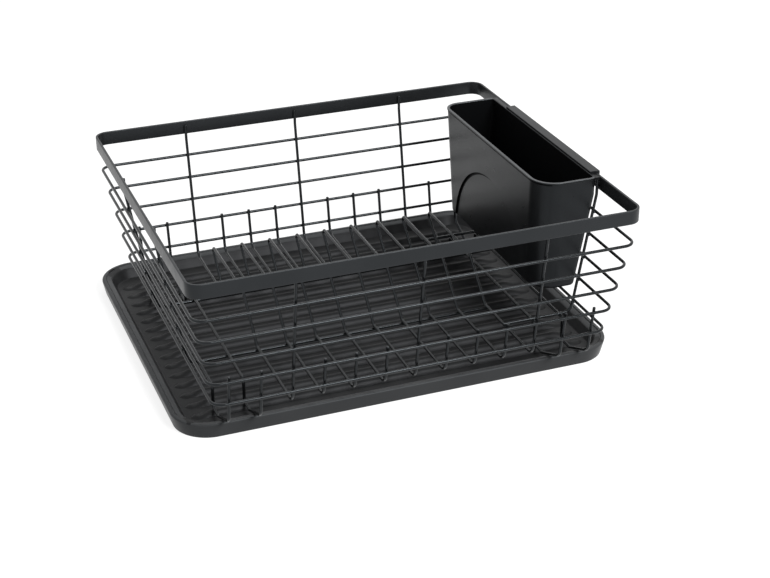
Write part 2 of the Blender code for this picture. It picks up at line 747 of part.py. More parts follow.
def main():
    """Build the whole object."""
    clear_scene()
    metal = make_material("satin_black_wire", SATIN_BLACK_COLOUR, 0.38, 0.0)
    band = make_material("satin_black_band", SATIN_BLACK_COLOUR, 0.36, 0.0)
    tray = make_material("tray_plastic", TRAY_COLOUR, 0.42, 0.0)
    caddy = make_material("caddy_plastic", CADDY_COLOUR, 0.45, 0.0)
    build_tray(tray)
    basket_location = (0, BASKET_PLACE, BASKET_BASE)
    basket = add_empty("basket", basket_location)
    build_rim(basket, band)
    build_hoops(basket, metal)
    build_rack_wires(basket, metal)
    build_side_wires(basket, metal)
    build_caddy(basket_location, caddy)


main()
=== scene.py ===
"""Dressed model of a dish drainer in a plain studio.

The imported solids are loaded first. Each sub-assembly is then a class that builds its finer pieces in the same
places and dresses them: the drip tray, the wire basket and the cutlery caddy. Everything is in metres, +Z up.
"""
import logging
import math
from collections.abc import Callable, Iterable, Sequence
from dataclasses import dataclass, field
from enum import Enum

import bmesh
import bpy
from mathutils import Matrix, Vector


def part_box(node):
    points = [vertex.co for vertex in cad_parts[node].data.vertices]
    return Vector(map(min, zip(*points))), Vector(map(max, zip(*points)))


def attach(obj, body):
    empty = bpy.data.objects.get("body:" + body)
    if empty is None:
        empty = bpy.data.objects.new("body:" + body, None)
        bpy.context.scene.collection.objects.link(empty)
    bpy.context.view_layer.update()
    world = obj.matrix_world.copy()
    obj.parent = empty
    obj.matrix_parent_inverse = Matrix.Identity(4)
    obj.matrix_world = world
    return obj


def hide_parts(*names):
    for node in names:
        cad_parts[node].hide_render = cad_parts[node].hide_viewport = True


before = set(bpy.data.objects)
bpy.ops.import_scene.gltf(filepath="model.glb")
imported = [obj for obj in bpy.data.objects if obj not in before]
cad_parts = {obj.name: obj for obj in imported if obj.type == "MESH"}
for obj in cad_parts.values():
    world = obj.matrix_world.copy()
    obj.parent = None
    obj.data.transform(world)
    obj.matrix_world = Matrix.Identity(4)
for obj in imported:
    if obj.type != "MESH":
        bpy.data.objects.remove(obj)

log = logging.getLogger("dish_drainer")

Pair = tuple[float, float]
Triple = tuple[float, float, float]
Colour = tuple[float, float, float]


class Body(Enum):
    """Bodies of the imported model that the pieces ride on."""

    TRAY = "tray"
    BASKET = "basket"
    CADDY = "caddy"


class Slot(Enum):
    """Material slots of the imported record."""

    WIRE = "coated_wire"
    BAND = "coated_band"
    TRAY = "tray_plastic"
    CADDY = "caddy_plastic"


# ---- node trees ----------------------------------------------------------------------------------------------

# Numbers of a Mix node's colour sockets, whose names its other kinds share
MIX_FIRST_COLOUR = 6
MIX_SECOND_COLOUR = 7
MIX_RESULT_COLOUR = 2


class Graph:
    """Adds and links nodes in one node tree."""

    def __init__(self, tree: bpy.types.NodeTree) -> None:
        """Work on a tree.

        Args:
            tree: The node tree that gets the nodes.
        """
        self.tree = tree

    def add(self, kind: str, inputs: dict[str | int, object] | None = None, **settings: object) -> bpy.types.Node:
        """Add one node.

        Args:
            kind: The node's type name.
            inputs: Values or output sockets by the input's name or number.
            **settings: Properties of the node itself.

        Returns:
            The new node.
        """
        node = self.tree.nodes.new(kind)
        for name, value in settings.items():
            setattr(node, name, value)
        for name, value in (inputs or {}).items():
            self.feed(node.inputs[name], value)
        return node

    def feed(self, socket: bpy.types.NodeSocket, value: object) -> None:
        """Link an output socket to an input, or set the input's own value.

        Args:
            socket: The input.
            value: An output socket or a plain value.
        """
        if isinstance(value, bpy.types.NodeSocket):
            self.tree.links.new(value, socket)
        else:
            socket.default_value = value

    def math(self, operation: str, *values: object, clamp: bool = False) -> bpy.types.NodeSocket:
        """Output of a Math node.

        Args:
            operation: The operation's name.
            *values: Numbers or sockets, in the node's order.
            clamp: Whether the result stays between 0 and 1.

        Returns:
            The result's socket.
        """
        node = self.add("ShaderNodeMath", dict(enumerate(values)), operation=operation, use_clamp=clamp)
        return node.outputs[0]

    def blend(self, share: object, first: object, second: object) -> bpy.types.NodeSocket:
        """Colour between two colours.

        Args:
            share: 0 for the first colour, 1 for the second.
            first: The first colour.
            second: The second colour.

        Returns:
            The mixed colour's socket.
        """
        node = self.add("ShaderNodeMix", data_type="RGBA")
        self.feed(node.inputs["Factor"], share)
        self.feed(node.inputs[MIX_FIRST_COLOUR], first)
        self.feed(node.inputs[MIX_SECOND_COLOUR], second)
        return node.outputs[MIX_RESULT_COLOUR]

    def ramp(self, value: object, low: object, high: object) -> bpy.types.NodeSocket:
        """Smooth step of a value from 0 at low to 1 at high.

        Args:
            value: The value's socket.
            low: Where the step starts, as a number or a socket.
            high: Where the step ends.

        Returns:
            The stepped value's socket.
        """
        limits = {"Value": value, "From Min": low, "From Max": high}
        node = self.add("ShaderNodeMapRange", limits, interpolation_type="SMOOTHSTEP", clamp=True)
        return node.outputs[0]


def new_tree(
    name: str, kind: str, inputs: dict[str, str], outputs: dict[str, str]
) -> tuple[Graph, bpy.types.Node, bpy.types.Node]:
    """Empty node group with named sockets.

    Args:
        name: The group's name.
        kind: GeometryNodeTree or ShaderNodeTree.
        inputs: Socket type by input name.
        outputs: Socket type by output name.

    Returns:
        The graph, its input node and its output node.
    """
    tree = bpy.data.node_groups.new(name, kind)
    for label, socket_type in inputs.items():
        tree.interface.new_socket(label, in_out="INPUT", socket_type=socket_type)
    for label, socket_type in outputs.items():
        tree.interface.new_socket(label, in_out="OUTPUT", socket_type=socket_type)
    graph = Graph(tree)
    return graph, graph.add("NodeGroupInput"), graph.add("NodeGroupOutput")


# ---- effects that several finishes share ----------------------------------------------------------------------


class FinishEffects:
    """Shader groups used by more than one finish, each built once."""

    MOTTLES_PER_PATCH = 9.0
    EDGE_MARK_NOISE = (0.32, 0.62)
    DUSTY_SLOPE = (0.35, 1.0)
    DUSTY_NOISE = (0.25, 0.8)

    def __init__(self) -> None:
        """Build the groups."""
        self.grain = self._grain()
        self.edges = self._edges()
        self.dust = self._dust()

    @staticmethod
    def _grain() -> bpy.types.NodeTree:
        """Fine texture of a coated or moulded surface.

        Returns:
            A group with the fine height, a slow tone and a mottle between the two.
        """
        graph, entry, leave = new_tree(
            "surface_grain",
            "ShaderNodeTree",
            {"Grains per Metre": "NodeSocketFloat", "Patches per Metre": "NodeSocketFloat"},
            {"Height": "NodeSocketFloat", "Tone": "NodeSocketFloat", "Mottle": "NodeSocketFloat"},
        )
        place = graph.add("ShaderNodeTexCoord").outputs["Object"]
        fine = {"Vector": place, "Scale": entry.outputs["Grains per Metre"], "Detail": 2.0, "Roughness": 0.6}
        slow = {"Vector": place, "Scale": entry.outputs["Patches per Metre"], "Detail": 3.0, "Roughness": 0.55}
        middle_scale = graph.math("MULTIPLY", entry.outputs["Patches per Metre"], FinishEffects.MOTTLES_PER_PATCH)
        middle = {"Vector": place, "Scale": middle_scale, "Detail": 2.0, "Roughness": 0.5}
        graph.feed(leave.inputs["Height"], graph.add("ShaderNodeTexNoise", fine).outputs[0])
        graph.feed(leave.inputs["Tone"], graph.add("ShaderNodeTexNoise", slow).outputs[0])
        graph.feed(leave.inputs["Mottle"], graph.add("ShaderNodeTexNoise", middle).outputs[0])
        return graph.tree

    @staticmethod
    def _edges() -> bpy.types.NodeTree:
        """Mask of the outer edges, where wear and a painted highlight go, broken up as handling does.

        Returns:
            A group with one mask.
        """
        graph, entry, leave = new_tree(
            "edge_wear_and_highlight",
            "ShaderNodeTree",
            {"Start": "NodeSocketFloat", "Full": "NodeSocketFloat", "Breaks per Metre": "NodeSocketFloat"},
            {"Mask": "NodeSocketFloat"},
        )
        place = graph.add("ShaderNodeTexCoord").outputs["Object"]
        pointed = graph.add("ShaderNodeNewGeometry").outputs["Pointiness"]
        edge = graph.ramp(pointed, entry.outputs["Start"], entry.outputs["Full"])
        breaks = {"Vector": place, "Scale": entry.outputs["Breaks per Metre"], "Detail": 3.0}
        broken = graph.ramp(graph.add("ShaderNodeTexNoise", breaks).outputs[0], *FinishEffects.EDGE_MARK_NOISE)
        graph.feed(leave.inputs["Mask"], graph.math("MULTIPLY", edge, broken, clamp=True))
        return graph.tree

    @staticmethod
    def _dust() -> bpy.types.NodeTree:
        """Mask of the fine dust that settles on what faces up.

        Returns:
            A group with one mask.
        """
        graph, entry, leave = new_tree(
            "settled_dust",
            "ShaderNodeTree",
            {"Amount": "NodeSocketFloat", "Patches per Metre": "NodeSocketFloat"},
            {"Mask": "NodeSocketFloat"},
        )
        place = graph.add("ShaderNodeTexCoord").outputs["Object"]
        normal = graph.add("ShaderNodeNewGeometry").outputs["Normal"]
        slope = graph.add("ShaderNodeSeparateXYZ", {"Vector": normal}).outputs["Z"]
        upward = graph.ramp(slope, *FinishEffects.DUSTY_SLOPE)
        patches = {"Vector": place, "Scale": entry.outputs["Patches per Metre"], "Detail": 4.0}
        cover = graph.ramp(graph.add("ShaderNodeTexNoise", patches).outputs[0], *FinishEffects.DUSTY_NOISE)
        both = graph.math("MULTIPLY", upward, cover)
        graph.feed(leave.inputs["Mask"], graph.math("MULTIPLY", both, entry.outputs["Amount"], clamp=True))
        return graph.tree


@dataclass(frozen=True)
class SatinFinish:
    """Black finish of one kind of piece, as numbers for one Principled shader.

    Attributes:
        name: Name of the material.
        colour: Linear base colour.
        light_colour: Base colour where the coat is slightly paler.
        worn_and_highlit_edge_colour: Base colour along rubbed edges, which also paints a highlight on them.
        dust_colour: Colour of the settled dust.
        roughness: Middle of the roughness.
        roughness_spread: How far the roughness varies.
        grain_size: Size of one grain in metres.
        grain_depth: Height of the grain in metres.
        patch_size: Size of the slow tones in metres.
        edge_start: Pointiness where an edge begins.
        edge_full: Pointiness where an edge is full.
        edge_amount: How much of the edge colour shows.
        dust_amount: How much dust shows on flat tops.
        specular: Specular level of the shader.
        tint: Colour of its gloss seen straight on.
        tone_noise: Limits of the noise between the two base colours.
        edge_mark_breaks: Breaks of the worn and highlit edges in one patch.
        dust_roughness: Roughness that full dust adds.
    """

    name: str
    colour: Colour
    light_colour: Colour
    worn_and_highlit_edge_colour: Colour
    dust_colour: Colour
    roughness: float
    roughness_spread: float
    grain_size: float
    grain_depth: float
    patch_size: float
    edge_start: float
    edge_full: float
    edge_amount: float
    dust_amount: float
    specular: float
    tint: Colour = (0.86, 0.94, 1.0)
    tone_noise: Pair = (0.3, 0.7)
    edge_mark_breaks: float = 2.5
    dust_roughness: float = 0.25

    def material(self, effects: FinishEffects) -> bpy.types.Material:
        """Build the finish.

        Args:
            effects: The shared shader groups.

        Returns:
            The material.
        """
        material = bpy.data.materials.new(self.name)
        material.use_nodes = True
        material.diffuse_color = (*self.colour, 1.0)
        graph = Graph(material.node_tree)
        shader = material.node_tree.nodes["Principled BSDF"]
        grain = graph.add("ShaderNodeGroup", node_tree=effects.grain)
        graph.feed(grain.inputs["Grains per Metre"], 1.0 / self.grain_size)
        graph.feed(grain.inputs["Patches per Metre"], 1.0 / self.patch_size)
        edges = graph.add("ShaderNodeGroup", node_tree=effects.edges)
        graph.feed(edges.inputs["Start"], self.edge_start)
        graph.feed(edges.inputs["Full"], self.edge_full)
        graph.feed(edges.inputs["Breaks per Metre"], self.edge_mark_breaks / self.patch_size)
        dust = graph.add("ShaderNodeGroup", node_tree=effects.dust)
        graph.feed(dust.inputs["Amount"], self.dust_amount)
        graph.feed(dust.inputs["Patches per Metre"], 1.0 / self.patch_size)

        tone = graph.ramp(grain.outputs["Tone"], *self.tone_noise)
        colour = graph.blend(tone, (*self.colour, 1.0), (*self.light_colour, 1.0))
        # Edge colour: wear together with a painted highlight along the outer edges
        edge_mark = graph.math("MULTIPLY", edges.outputs["Mask"], self.edge_amount)
        colour = graph.blend(edge_mark, colour, (*self.worn_and_highlit_edge_colour, 1.0))
        colour = graph.blend(dust.outputs["Mask"], colour, (*self.dust_colour, 1.0))
        graph.feed(shader.inputs["Base Color"], colour)

        # Noise sways round a half
        sway = graph.math("SUBTRACT", grain.outputs["Mottle"], 0.5)
        rough = graph.math("MULTIPLY_ADD", sway, self.roughness_spread, self.roughness)
        rough = graph.math("MULTIPLY_ADD", dust.outputs["Mask"], self.dust_roughness, rough, clamp=True)
        graph.feed(shader.inputs["Roughness"], rough)
        shader.inputs["Specular IOR Level"].default_value = self.specular
        shader.inputs["Specular Tint"].default_value = (*self.tint, 1.0)

        bump = graph.add("ShaderNodeBump", {"Strength": 1.0, "Distance": self.grain_depth})
        graph.feed(bump.inputs["Height"], grain.outputs["Height"])
        graph.feed(shader.inputs["Normal"], bump.outputs["Normal"])
        return material


WIRE_COAT = SatinFinish(
    name="satin_black_wire_coat",
    colour=(0.0040, 0.0042, 0.0046),
    light_colour=(0.0055, 0.0058, 0.0063),
    worn_and_highlit_edge_colour=(0.030, 0.030, 0.031),
    dust_colour=(0.110, 0.108, 0.104),
    roughness=0.20,
    roughness_spread=0.05,
    grain_size=0.0006,
    grain_depth=0.000012,
    patch_size=0.040,
    edge_start=0.66,
    edge_full=0.85,
    edge_amount=0.20,
    dust_amount=0.03,
    specular=0.28,
)

# The band's edge colour paints a highlight along its edges, as well as wear
BAND_COAT = SatinFinish(
    name="satin_black_band_coat",
    colour=(0.0095, 0.0100, 0.0108),
    light_colour=(0.0125, 0.0131, 0.0141),
    worn_and_highlit_edge_colour=(0.070, 0.071, 0.074),
    dust_colour=(0.120, 0.118, 0.114),
    roughness=0.36,
    roughness_spread=0.12,
    grain_size=0.0007,
    grain_depth=0.000014,
    patch_size=0.060,
    edge_start=0.52,
    edge_full=0.60,
    edge_amount=0.40,
    dust_amount=0.05,
    specular=0.28,
)

# Lighter copy of the tray's plastic for its shell: painted light on the walls and lip
TRAY_LIT_MOULDING = SatinFinish(
    name="painted_light_tray_moulding",
    colour=(0.0400, 0.0412, 0.0428),
    light_colour=(0.0460, 0.0473, 0.0490),
    worn_and_highlit_edge_colour=(0.045, 0.045, 0.046),
    dust_colour=(0.120, 0.118, 0.112),
    roughness=0.34,
    roughness_spread=0.14,
    grain_size=0.0008,
    grain_depth=0.000018,
    patch_size=0.070,
    edge_start=0.52,
    edge_full=0.62,
    edge_amount=0.35,
    dust_amount=0.04,
    specular=0.11,
)

# Darker matt copy of the same plastic for the floor and the inner slope: painted shade
TRAY_SHADED_FLOOR = SatinFinish(
    name="painted_shade_matt_tray_floor",
    colour=(0.0100, 0.0103, 0.0107),
    light_colour=(0.0130, 0.0133, 0.0138),
    worn_and_highlit_edge_colour=(0.035, 0.035, 0.036),
    dust_colour=(0.120, 0.118, 0.112),
    roughness=0.40,
    roughness_spread=0.06,
    grain_size=0.0008,
    grain_depth=0.000020,
    patch_size=0.070,
    edge_start=0.52,
    edge_full=0.62,
    edge_amount=0.35,
    dust_amount=0.03,
    specular=0.115,
    tint=(0.94, 0.96, 1.0),
)

CADDY_MOULDING = SatinFinish(
    name="black_caddy_moulding",
    colour=(0.0076, 0.0080, 0.0087),
    light_colour=(0.0092, 0.0096, 0.0104),
    worn_and_highlit_edge_colour=(0.030, 0.031, 0.033),
    dust_colour=(0.110, 0.108, 0.104),
    roughness=0.28,
    roughness_spread=0.03,
    grain_size=0.0006,
    grain_depth=0.000014,
    patch_size=0.060,
    edge_start=0.80,
    edge_full=0.95,
    edge_amount=0.20,
    dust_amount=0.03,
    specular=0.195,
)

# Lighter finish on the bead round the caddy's mouth: a painted highlight
CADDY_RIM_HIGHLIGHT = SatinFinish(
    name="painted_highlight_caddy_rim",
    colour=(0.0320, 0.0332, 0.0350),
    light_colour=(0.0440, 0.0455, 0.0480),
    worn_and_highlit_edge_colour=(0.090, 0.092, 0.096),
    dust_colour=(0.110, 0.108, 0.104),
    roughness=0.30,
    roughness_spread=0.08,
    grain_size=0.0006,
    grain_depth=0.000010,
    patch_size=0.020,
    edge_start=0.80,
    edge_full=0.95,
    edge_amount=0.20,
    dust_amount=0.03,
    specular=0.36,
)

# Near-black finish that paints shade inside the pot, along the relief's step and under the bead
CADDY_PAINTED_SHADE = SatinFinish(
    name="painted_shade_caddy_inside",
    colour=(0.0012, 0.0012, 0.0013),
    light_colour=(0.0018, 0.0018, 0.0020),
    worn_and_highlit_edge_colour=(0.008, 0.008, 0.008),
    dust_colour=(0.040, 0.039, 0.037),
    roughness=0.60,
    roughness_spread=0.10,
    grain_size=0.0006,
    grain_depth=0.000016,
    patch_size=0.060,
    edge_start=0.80,
    edge_full=0.95,
    edge_amount=0.20,
    dust_amount=0.02,
    specular=0.05,
)


# ---- meshes ---------------------------------------------------------------------------------------------------

# A rounding shorter than this leaves its corner sharp, and none takes more than this share of a line beside it
SHORTEST_ROUNDING = 1e-7
LONGEST_ROUNDING_SHARE = 0.499


def rounded_outline(low: Pair, high: Pair, radii: Sequence[float], level: float, steps: int) -> list[Vector]:
    """Loop round a rectangle with a radius at each corner.

    Args:
        low: Lowest X and Y.
        high: Highest X and Y.
        radii: Radii of the front right, back right, back left and front left corners.
        level: Height of the loop.
        steps: Faces round one corner.

    Returns:
        The loop's points, anticlockwise from above.
    """
    (x_low, y_low), (x_high, y_high) = low, high
    corners = (
        (x_high, y_low, -1, 1, -90),
        (x_high, y_high, -1, -1, 0),
        (x_low, y_high, 1, -1, 90),
        (x_low, y_low, 1, 1, 180),
    )
    loop = []
    for (x, y, x_in, y_in, start), radius in zip(corners, radii):
        centre = Vector((x + x_in * radius, y + y_in * radius, level))
        for step in range(steps + 1):
            angle = math.radians(start + 90 * step / steps)
            loop.append(centre + Vector((math.cos(angle), math.sin(angle), 0)) * radius)
    return loop


def rounded_profile(points: Sequence[Triple], steps: int) -> list[Pair]:
    """Flat line whose corners between its two ends are rounded.

    Args:
        points: Two coordinates and a corner radius for each point.
        steps: Faces round one corner.

    Returns:
        The points of the rounded line.
    """
    line: list[Pair] = [points[0][:2]]
    for before, here, after in zip(points, points[1:], points[2:]):
        corner = Vector(here[:2])
        back = Vector(before[:2]) - corner
        ahead = Vector(after[:2]) - corner
        turn = math.pi - back.angle(ahead)
        reach = here[2] * math.tan(turn / 2)
        if reach < SHORTEST_ROUNDING:
            line.append(tuple(corner))
            continue
        reach = min(reach, min(back.length, ahead.length) * LONGEST_ROUNDING_SHARE)
        radius = reach / math.tan(turn / 2)
        back.normalize()
        ahead.normalize()
        centre = corner + (back + ahead).normalized() * radius / math.cos(turn / 2)
        first = corner + back * reach - centre
        last = corner + ahead * reach - centre
        for step in range(steps + 1):
            share = step / steps
            mixed = math.sin(turn * (1 - share)) * first + math.sin(turn * share) * last
            line.append(tuple(centre + mixed / math.sin(turn)))
    line.append(points[-1][:2])
    return line


def loft_mesh(name: str, loops: Sequence[Sequence[Vector]], ring: bool = False) -> bpy.types.Mesh:
    """Closed mesh through loops of equal count.

    Args:
        name: Name of the mesh.
        loops: The loops in order.
        ring: Whether the last loop joins the first one; otherwise both ends are capped.

    Returns:
        The mesh, with its faces pointing outwards.
    """
    shape = bmesh.new()
    rings = [[shape.verts.new(point) for point in loop] for loop in loops]
    pairs = list(zip(rings, rings[1:]))
    if ring:
        pairs.append((rings[-1], rings[0]))
    for lower, upper in pairs:
        for index in range(len(lower)):
            after = (index + 1) % len(lower)
            shape.faces.new((lower[index], lower[after], upper[after], upper[index]))
    if not ring:
        shape.faces.new(rings[0])
        shape.faces.new(rings[-1])
    bmesh.ops.recalc_face_normals(shape, faces=shape.faces)
    mesh = bpy.data.meshes.new(name)
    shape.to_mesh(mesh)
    shape.free()
    return mesh


def soften(mesh: bpy.types.Mesh, degrees: float) -> None:
    """Shade a mesh smooth, with its sharper edges kept.

    Args:
        mesh: The mesh.
        degrees: Angle above which an edge stays sharp.
    """
    mesh.shade_smooth()
    mesh.set_sharp_from_angle(angle=math.radians(degrees))


def new_object(name: str, mesh: bpy.types.Mesh, material: bpy.types.Material | None = None) -> bpy.types.Object:
    """Link a mesh to the scene as an object at the origin.

    Args:
        name: Name of the object.
        mesh: Its mesh.
        material: Its material, where the mesh has none yet.

    Returns:
        The object.
    """
    item = bpy.data.objects.new(name, mesh)
    if material is not None:
        mesh.materials.clear()
        mesh.materials.append(material)
    bpy.context.scene.collection.objects.link(item)
    return item


def add_finish(mesh: bpy.types.Mesh, material: bpy.types.Material, chosen: Callable[[Vector, Vector], bool]) -> None:
    """Give some faces of a mesh a second finish.

    Args:
        mesh: The mesh.
        material: The second finish.
        chosen: Whether a face has it, from its middle and its normal.
    """
    number = len(mesh.materials)
    mesh.materials.append(material)
    for face in mesh.polygons:
        if chosen(face.center, face.normal):
            face.material_index = number


def evaluated_copy(item: bpy.types.Object) -> bpy.types.Mesh:
    """Plain mesh of an object with its modifiers applied.

    Args:
        item: The object.

    Returns:
        The new mesh.
    """
    bpy.context.view_layer.update()
    graph = bpy.context.evaluated_depsgraph_get()
    return bpy.data.meshes.new_from_object(item.evaluated_get(graph))


def bake_modifiers(item: bpy.types.Object) -> None:
    """Put an object's modifiers into its mesh.

    Args:
        item: The object.
    """
    mesh = evaluated_copy(item)
    item.modifiers.clear()
    item.data = mesh


def combine(target: bpy.types.Object, other: bpy.types.Object, operation: str) -> None:
    """Join or cut one object with another, which is then removed.

    Args:
        target: The object that stays.
        other: The object that is used up.
        operation: UNION or DIFFERENCE.
    """
    change = target.modifiers.new(operation.lower(), "BOOLEAN")
    change.operation = operation
    change.solver = "EXACT"
    change.object = other
    bake_modifiers(target)
    bpy.data.objects.remove(other, do_unlink=True)


def settle(piece: bpy.types.Object, body: Body, slot: Slot, *nodes: str) -> None:
    """Give a finished piece its body and hide the nodes that it stands for.

    Args:
        piece: The piece.
        body: The body it rides on.
        slot: The record's material slot; not used.
        *nodes: CAD nodes that it replaces.
    """
    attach(piece, body.value)
    if nodes:
        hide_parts(*nodes)
    log.info("%s: %d faces on %s", piece.name, len(piece.data.polygons), body.value)
    reach = [pick(corner[axis] for corner in piece.bound_box) for pick in (min, max) for axis in range(3)]
    for node in nodes:
        node_low, node_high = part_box(node)
        off = max(abs(mine - its) for mine, its in zip(reach, (*node_low, *node_high)))
        log.info("    box at most %.2f mm off %s", off * 1000, node)


# ---- repeated and path-following forms ------------------------------------------------------------------------


class Forms:
    """Geometry Nodes trees for bent wire, weld beads and tray ribs."""

    def __init__(self) -> None:
        """Build the trees."""
        self.bent_wire = self._bent_wire()
        self.weld_bead = self._weld_bead()
        self.rib_row = self._rib_row()

    @staticmethod
    def _bent_wire() -> bpy.types.NodeTree:
        """Round wire along a polyline, whose corners have their own bend radii.

        Returns:
            The tree. Its polyline carries the attributes bend and girth.
        """
        graph, entry, leave = new_tree(
            "bent_wire",
            "GeometryNodeTree",
            {
                "Geometry": "NodeSocketGeometry",
                "Wire Radius": "NodeSocketFloat",
                "Bend Steps": "NodeSocketInt",
                "Sides": "NodeSocketInt",
                "Material": "NodeSocketMaterial",
            },
            {"Geometry": "NodeSocketGeometry"},
        )
        bend = graph.add("GeometryNodeInputNamedAttribute", {"Name": "bend"}, data_type="FLOAT").outputs["Attribute"]
        girth = graph.add("GeometryNodeInputNamedAttribute", {"Name": "girth"}, data_type="FLOAT").outputs["Attribute"]
        line = graph.add("GeometryNodeMeshToCurve", {"Mesh": entry.outputs["Geometry"]}).outputs["Curve"]
        fillet = {"Curve": line, "Count": entry.outputs["Bend Steps"], "Radius": bend}
        rounded = graph.add("GeometryNodeFilletCurve", fillet, mode="POLY").outputs["Curve"]
        ring = {"Resolution": entry.outputs["Sides"], "Radius": entry.outputs["Wire Radius"]}
        profile = graph.add("GeometryNodeCurvePrimitiveCircle", ring, mode="RADIUS").outputs["Curve"]
        sweep = {"Curve": rounded, "Profile Curve": profile, "Scale": girth, "Fill Caps": True}
        tube = graph.add("GeometryNodeCurveToMesh", sweep).outputs["Mesh"]
        whole = graph.add("GeometryNodeRealizeInstances", {"Geometry": tube}).outputs["Geometry"]
        dressed = graph.add("GeometryNodeSetMaterial", {"Geometry": whole, "Material": entry.outputs["Material"]})
        graph.feed(leave.inputs["Geometry"], dressed.outputs["Geometry"])
        return graph.tree

    @staticmethod
    def _weld_bead() -> bpy.types.NodeTree:
        """Flattened bead at every point, turned to the attribute facing.

        Returns:
            The tree.
        """
        graph, entry, leave = new_tree(
            "weld_bead",
            "GeometryNodeTree",
            {
                "Geometry": "NodeSocketGeometry",
                "Bead Radius": "NodeSocketFloat",
                "Bead Height": "NodeSocketFloat",
                "Fineness": "NodeSocketInt",
                "Material": "NodeSocketMaterial",
            },
            {"Geometry": "NodeSocketGeometry"},
        )
        facing = graph.add("GeometryNodeInputNamedAttribute", {"Name": "facing"}, data_type="FLOAT_VECTOR")
        turn = graph.add("FunctionNodeAlignRotationToVector", {"Vector": facing.outputs["Attribute"]}, axis="Z")
        radius, height = entry.outputs["Bead Radius"], entry.outputs["Bead Height"]
        size = graph.add("ShaderNodeCombineXYZ", {"X": radius, "Y": radius, "Z": height}).outputs["Vector"]
        ball = graph.add("GeometryNodeMeshIcoSphere", {"Radius": 1.0, "Subdivisions": entry.outputs["Fineness"]})
        spread = {
            "Points": entry.outputs["Geometry"],
            "Instance": ball.outputs["Mesh"],
            "Rotation": turn.outputs["Rotation"],
            "Scale": size,
        }
        beads = graph.add("GeometryNodeInstanceOnPoints", spread).outputs["Instances"]
        whole = graph.add("GeometryNodeRealizeInstances", {"Geometry": beads}).outputs["Geometry"]
        dressed = graph.add("GeometryNodeSetMaterial", {"Geometry": whole, "Material": entry.outputs["Material"]})
        graph.feed(leave.inputs["Geometry"], dressed.outputs["Geometry"])
        return graph.tree

    @staticmethod
    def _rib_row() -> bpy.types.NodeTree:
        """Row of low ribs whose ends narrow and sink into the floor.

        Returns:
            The tree. Each rib is a domed sheet over a flat one, merged round its rim.
        """
        graph, entry, leave = new_tree(
            "rib_row",
            "GeometryNodeTree",
            {
                "Geometry": "NodeSocketGeometry",
                "Count": "NodeSocketInt",
                "First Place": "NodeSocketFloat",
                "Pitch": "NodeSocketFloat",
                "Reach": "NodeSocketFloat",
                "Width": "NodeSocketFloat",
                "Height": "NodeSocketFloat",
                "Taper Length": "NodeSocketFloat",
                "Tip Length": "NodeSocketFloat",
                "Leaf Length": "NodeSocketFloat",
                "End Swell": "NodeSocketFloat",
                "End Height Share": "NodeSocketFloat",
                "Climb Start": "NodeSocketFloat",
                "Fullness": "NodeSocketFloat",
                "Floor Level": "NodeSocketFloat",
                "Root Depth": "NodeSocketFloat",
                "Stations": "NodeSocketInt",
                "Rows": "NodeSocketInt",
                "Material": "NodeSocketMaterial",
            },
            {"Geometry": "NodeSocketGeometry"},
        )
        size = entry.outputs
        sheet = {"Size X": 2.0, "Size Y": 2.0, "Vertices X": size["Stations"], "Vertices Y": size["Rows"]}
        flat = graph.add("GeometryNodeMeshGrid", sheet).outputs["Mesh"]
        place = graph.add("ShaderNodeSeparateXYZ", {"Vector": graph.add("GeometryNodeInputPosition").outputs[0]})
        along, across = place.outputs["X"], place.outputs["Y"]
        # The stations crowd towards both ends, where the rib changes
        spread = graph.math("SINE", graph.math("MULTIPLY", along, math.pi / 2))
        x = graph.math("MULTIPLY", spread, size["Reach"])
        left = graph.math("SUBTRACT", size["Reach"], graph.math("ABSOLUTE", x))
        run = graph.math("DIVIDE", left, size["Taper Length"], clamp=True)
        tip_run = graph.math("DIVIDE", left, size["Tip Length"], clamp=True)
        opened = graph.math("SINE", graph.math("MULTIPLY", tip_run, math.pi / 2))
        # The end is a low leaf; the full height comes further in
        climb = graph.ramp(run, size["Climb Start"], 1.0)
        low_end = graph.math("MULTIPLY", opened, size["End Height Share"])
        swell = graph.math("MULTIPLY_ADD", climb, graph.math("SUBTRACT", 1.0, size["End Height Share"]), low_end)
        # Just behind its tip each rib is a little broader than along its run
        long_run = graph.math("DIVIDE", left, size["Leaf Length"], clamp=True)
        leaf = graph.math("SINE", graph.math("MULTIPLY", long_run, math.pi))
        breadth = graph.math("MULTIPLY_ADD", leaf, size["End Swell"], opened)
        half = graph.math("MULTIPLY", size["Width"], 0.5)
        y = graph.math("MULTIPLY", graph.math("MULTIPLY", across, breadth), half)
        wave = graph.math("COSINE", graph.math("MULTIPLY", across, math.pi))
        dome = graph.math("POWER", graph.math("MULTIPLY_ADD", wave, 0.5, 0.5, clamp=True), size["Fullness"])
        root = graph.math("SUBTRACT", size["Floor Level"], size["Root Depth"])
        rise = graph.math("MULTIPLY", graph.math("ADD", size["Height"], size["Root Depth"]), swell)
        top = graph.math("MULTIPLY_ADD", rise, dome, root)
        low_place = graph.add("ShaderNodeCombineXYZ", {"X": x, "Y": y, "Z": root}).outputs["Vector"]
        top_place = graph.add("ShaderNodeCombineXYZ", {"X": x, "Y": y, "Z": top}).outputs["Vector"]
        upper = graph.add("GeometryNodeSetPosition", {"Geometry": flat, "Position": top_place}).outputs["Geometry"]
        lower = graph.add("GeometryNodeSetPosition", {"Geometry": flat, "Position": low_place}).outputs["Geometry"]
        lower = graph.add("GeometryNodeFlipFaces", {"Mesh": lower}).outputs["Mesh"]
        join = graph.add("GeometryNodeJoinGeometry")
        graph.tree.links.new(upper, join.inputs[0])
        graph.tree.links.new(lower, join.inputs[0])
        sealed = {"Geometry": join.outputs["Geometry"], "Distance": 1e-6}
        rib = graph.add("GeometryNodeMergeByDistance", sealed).outputs["Geometry"]
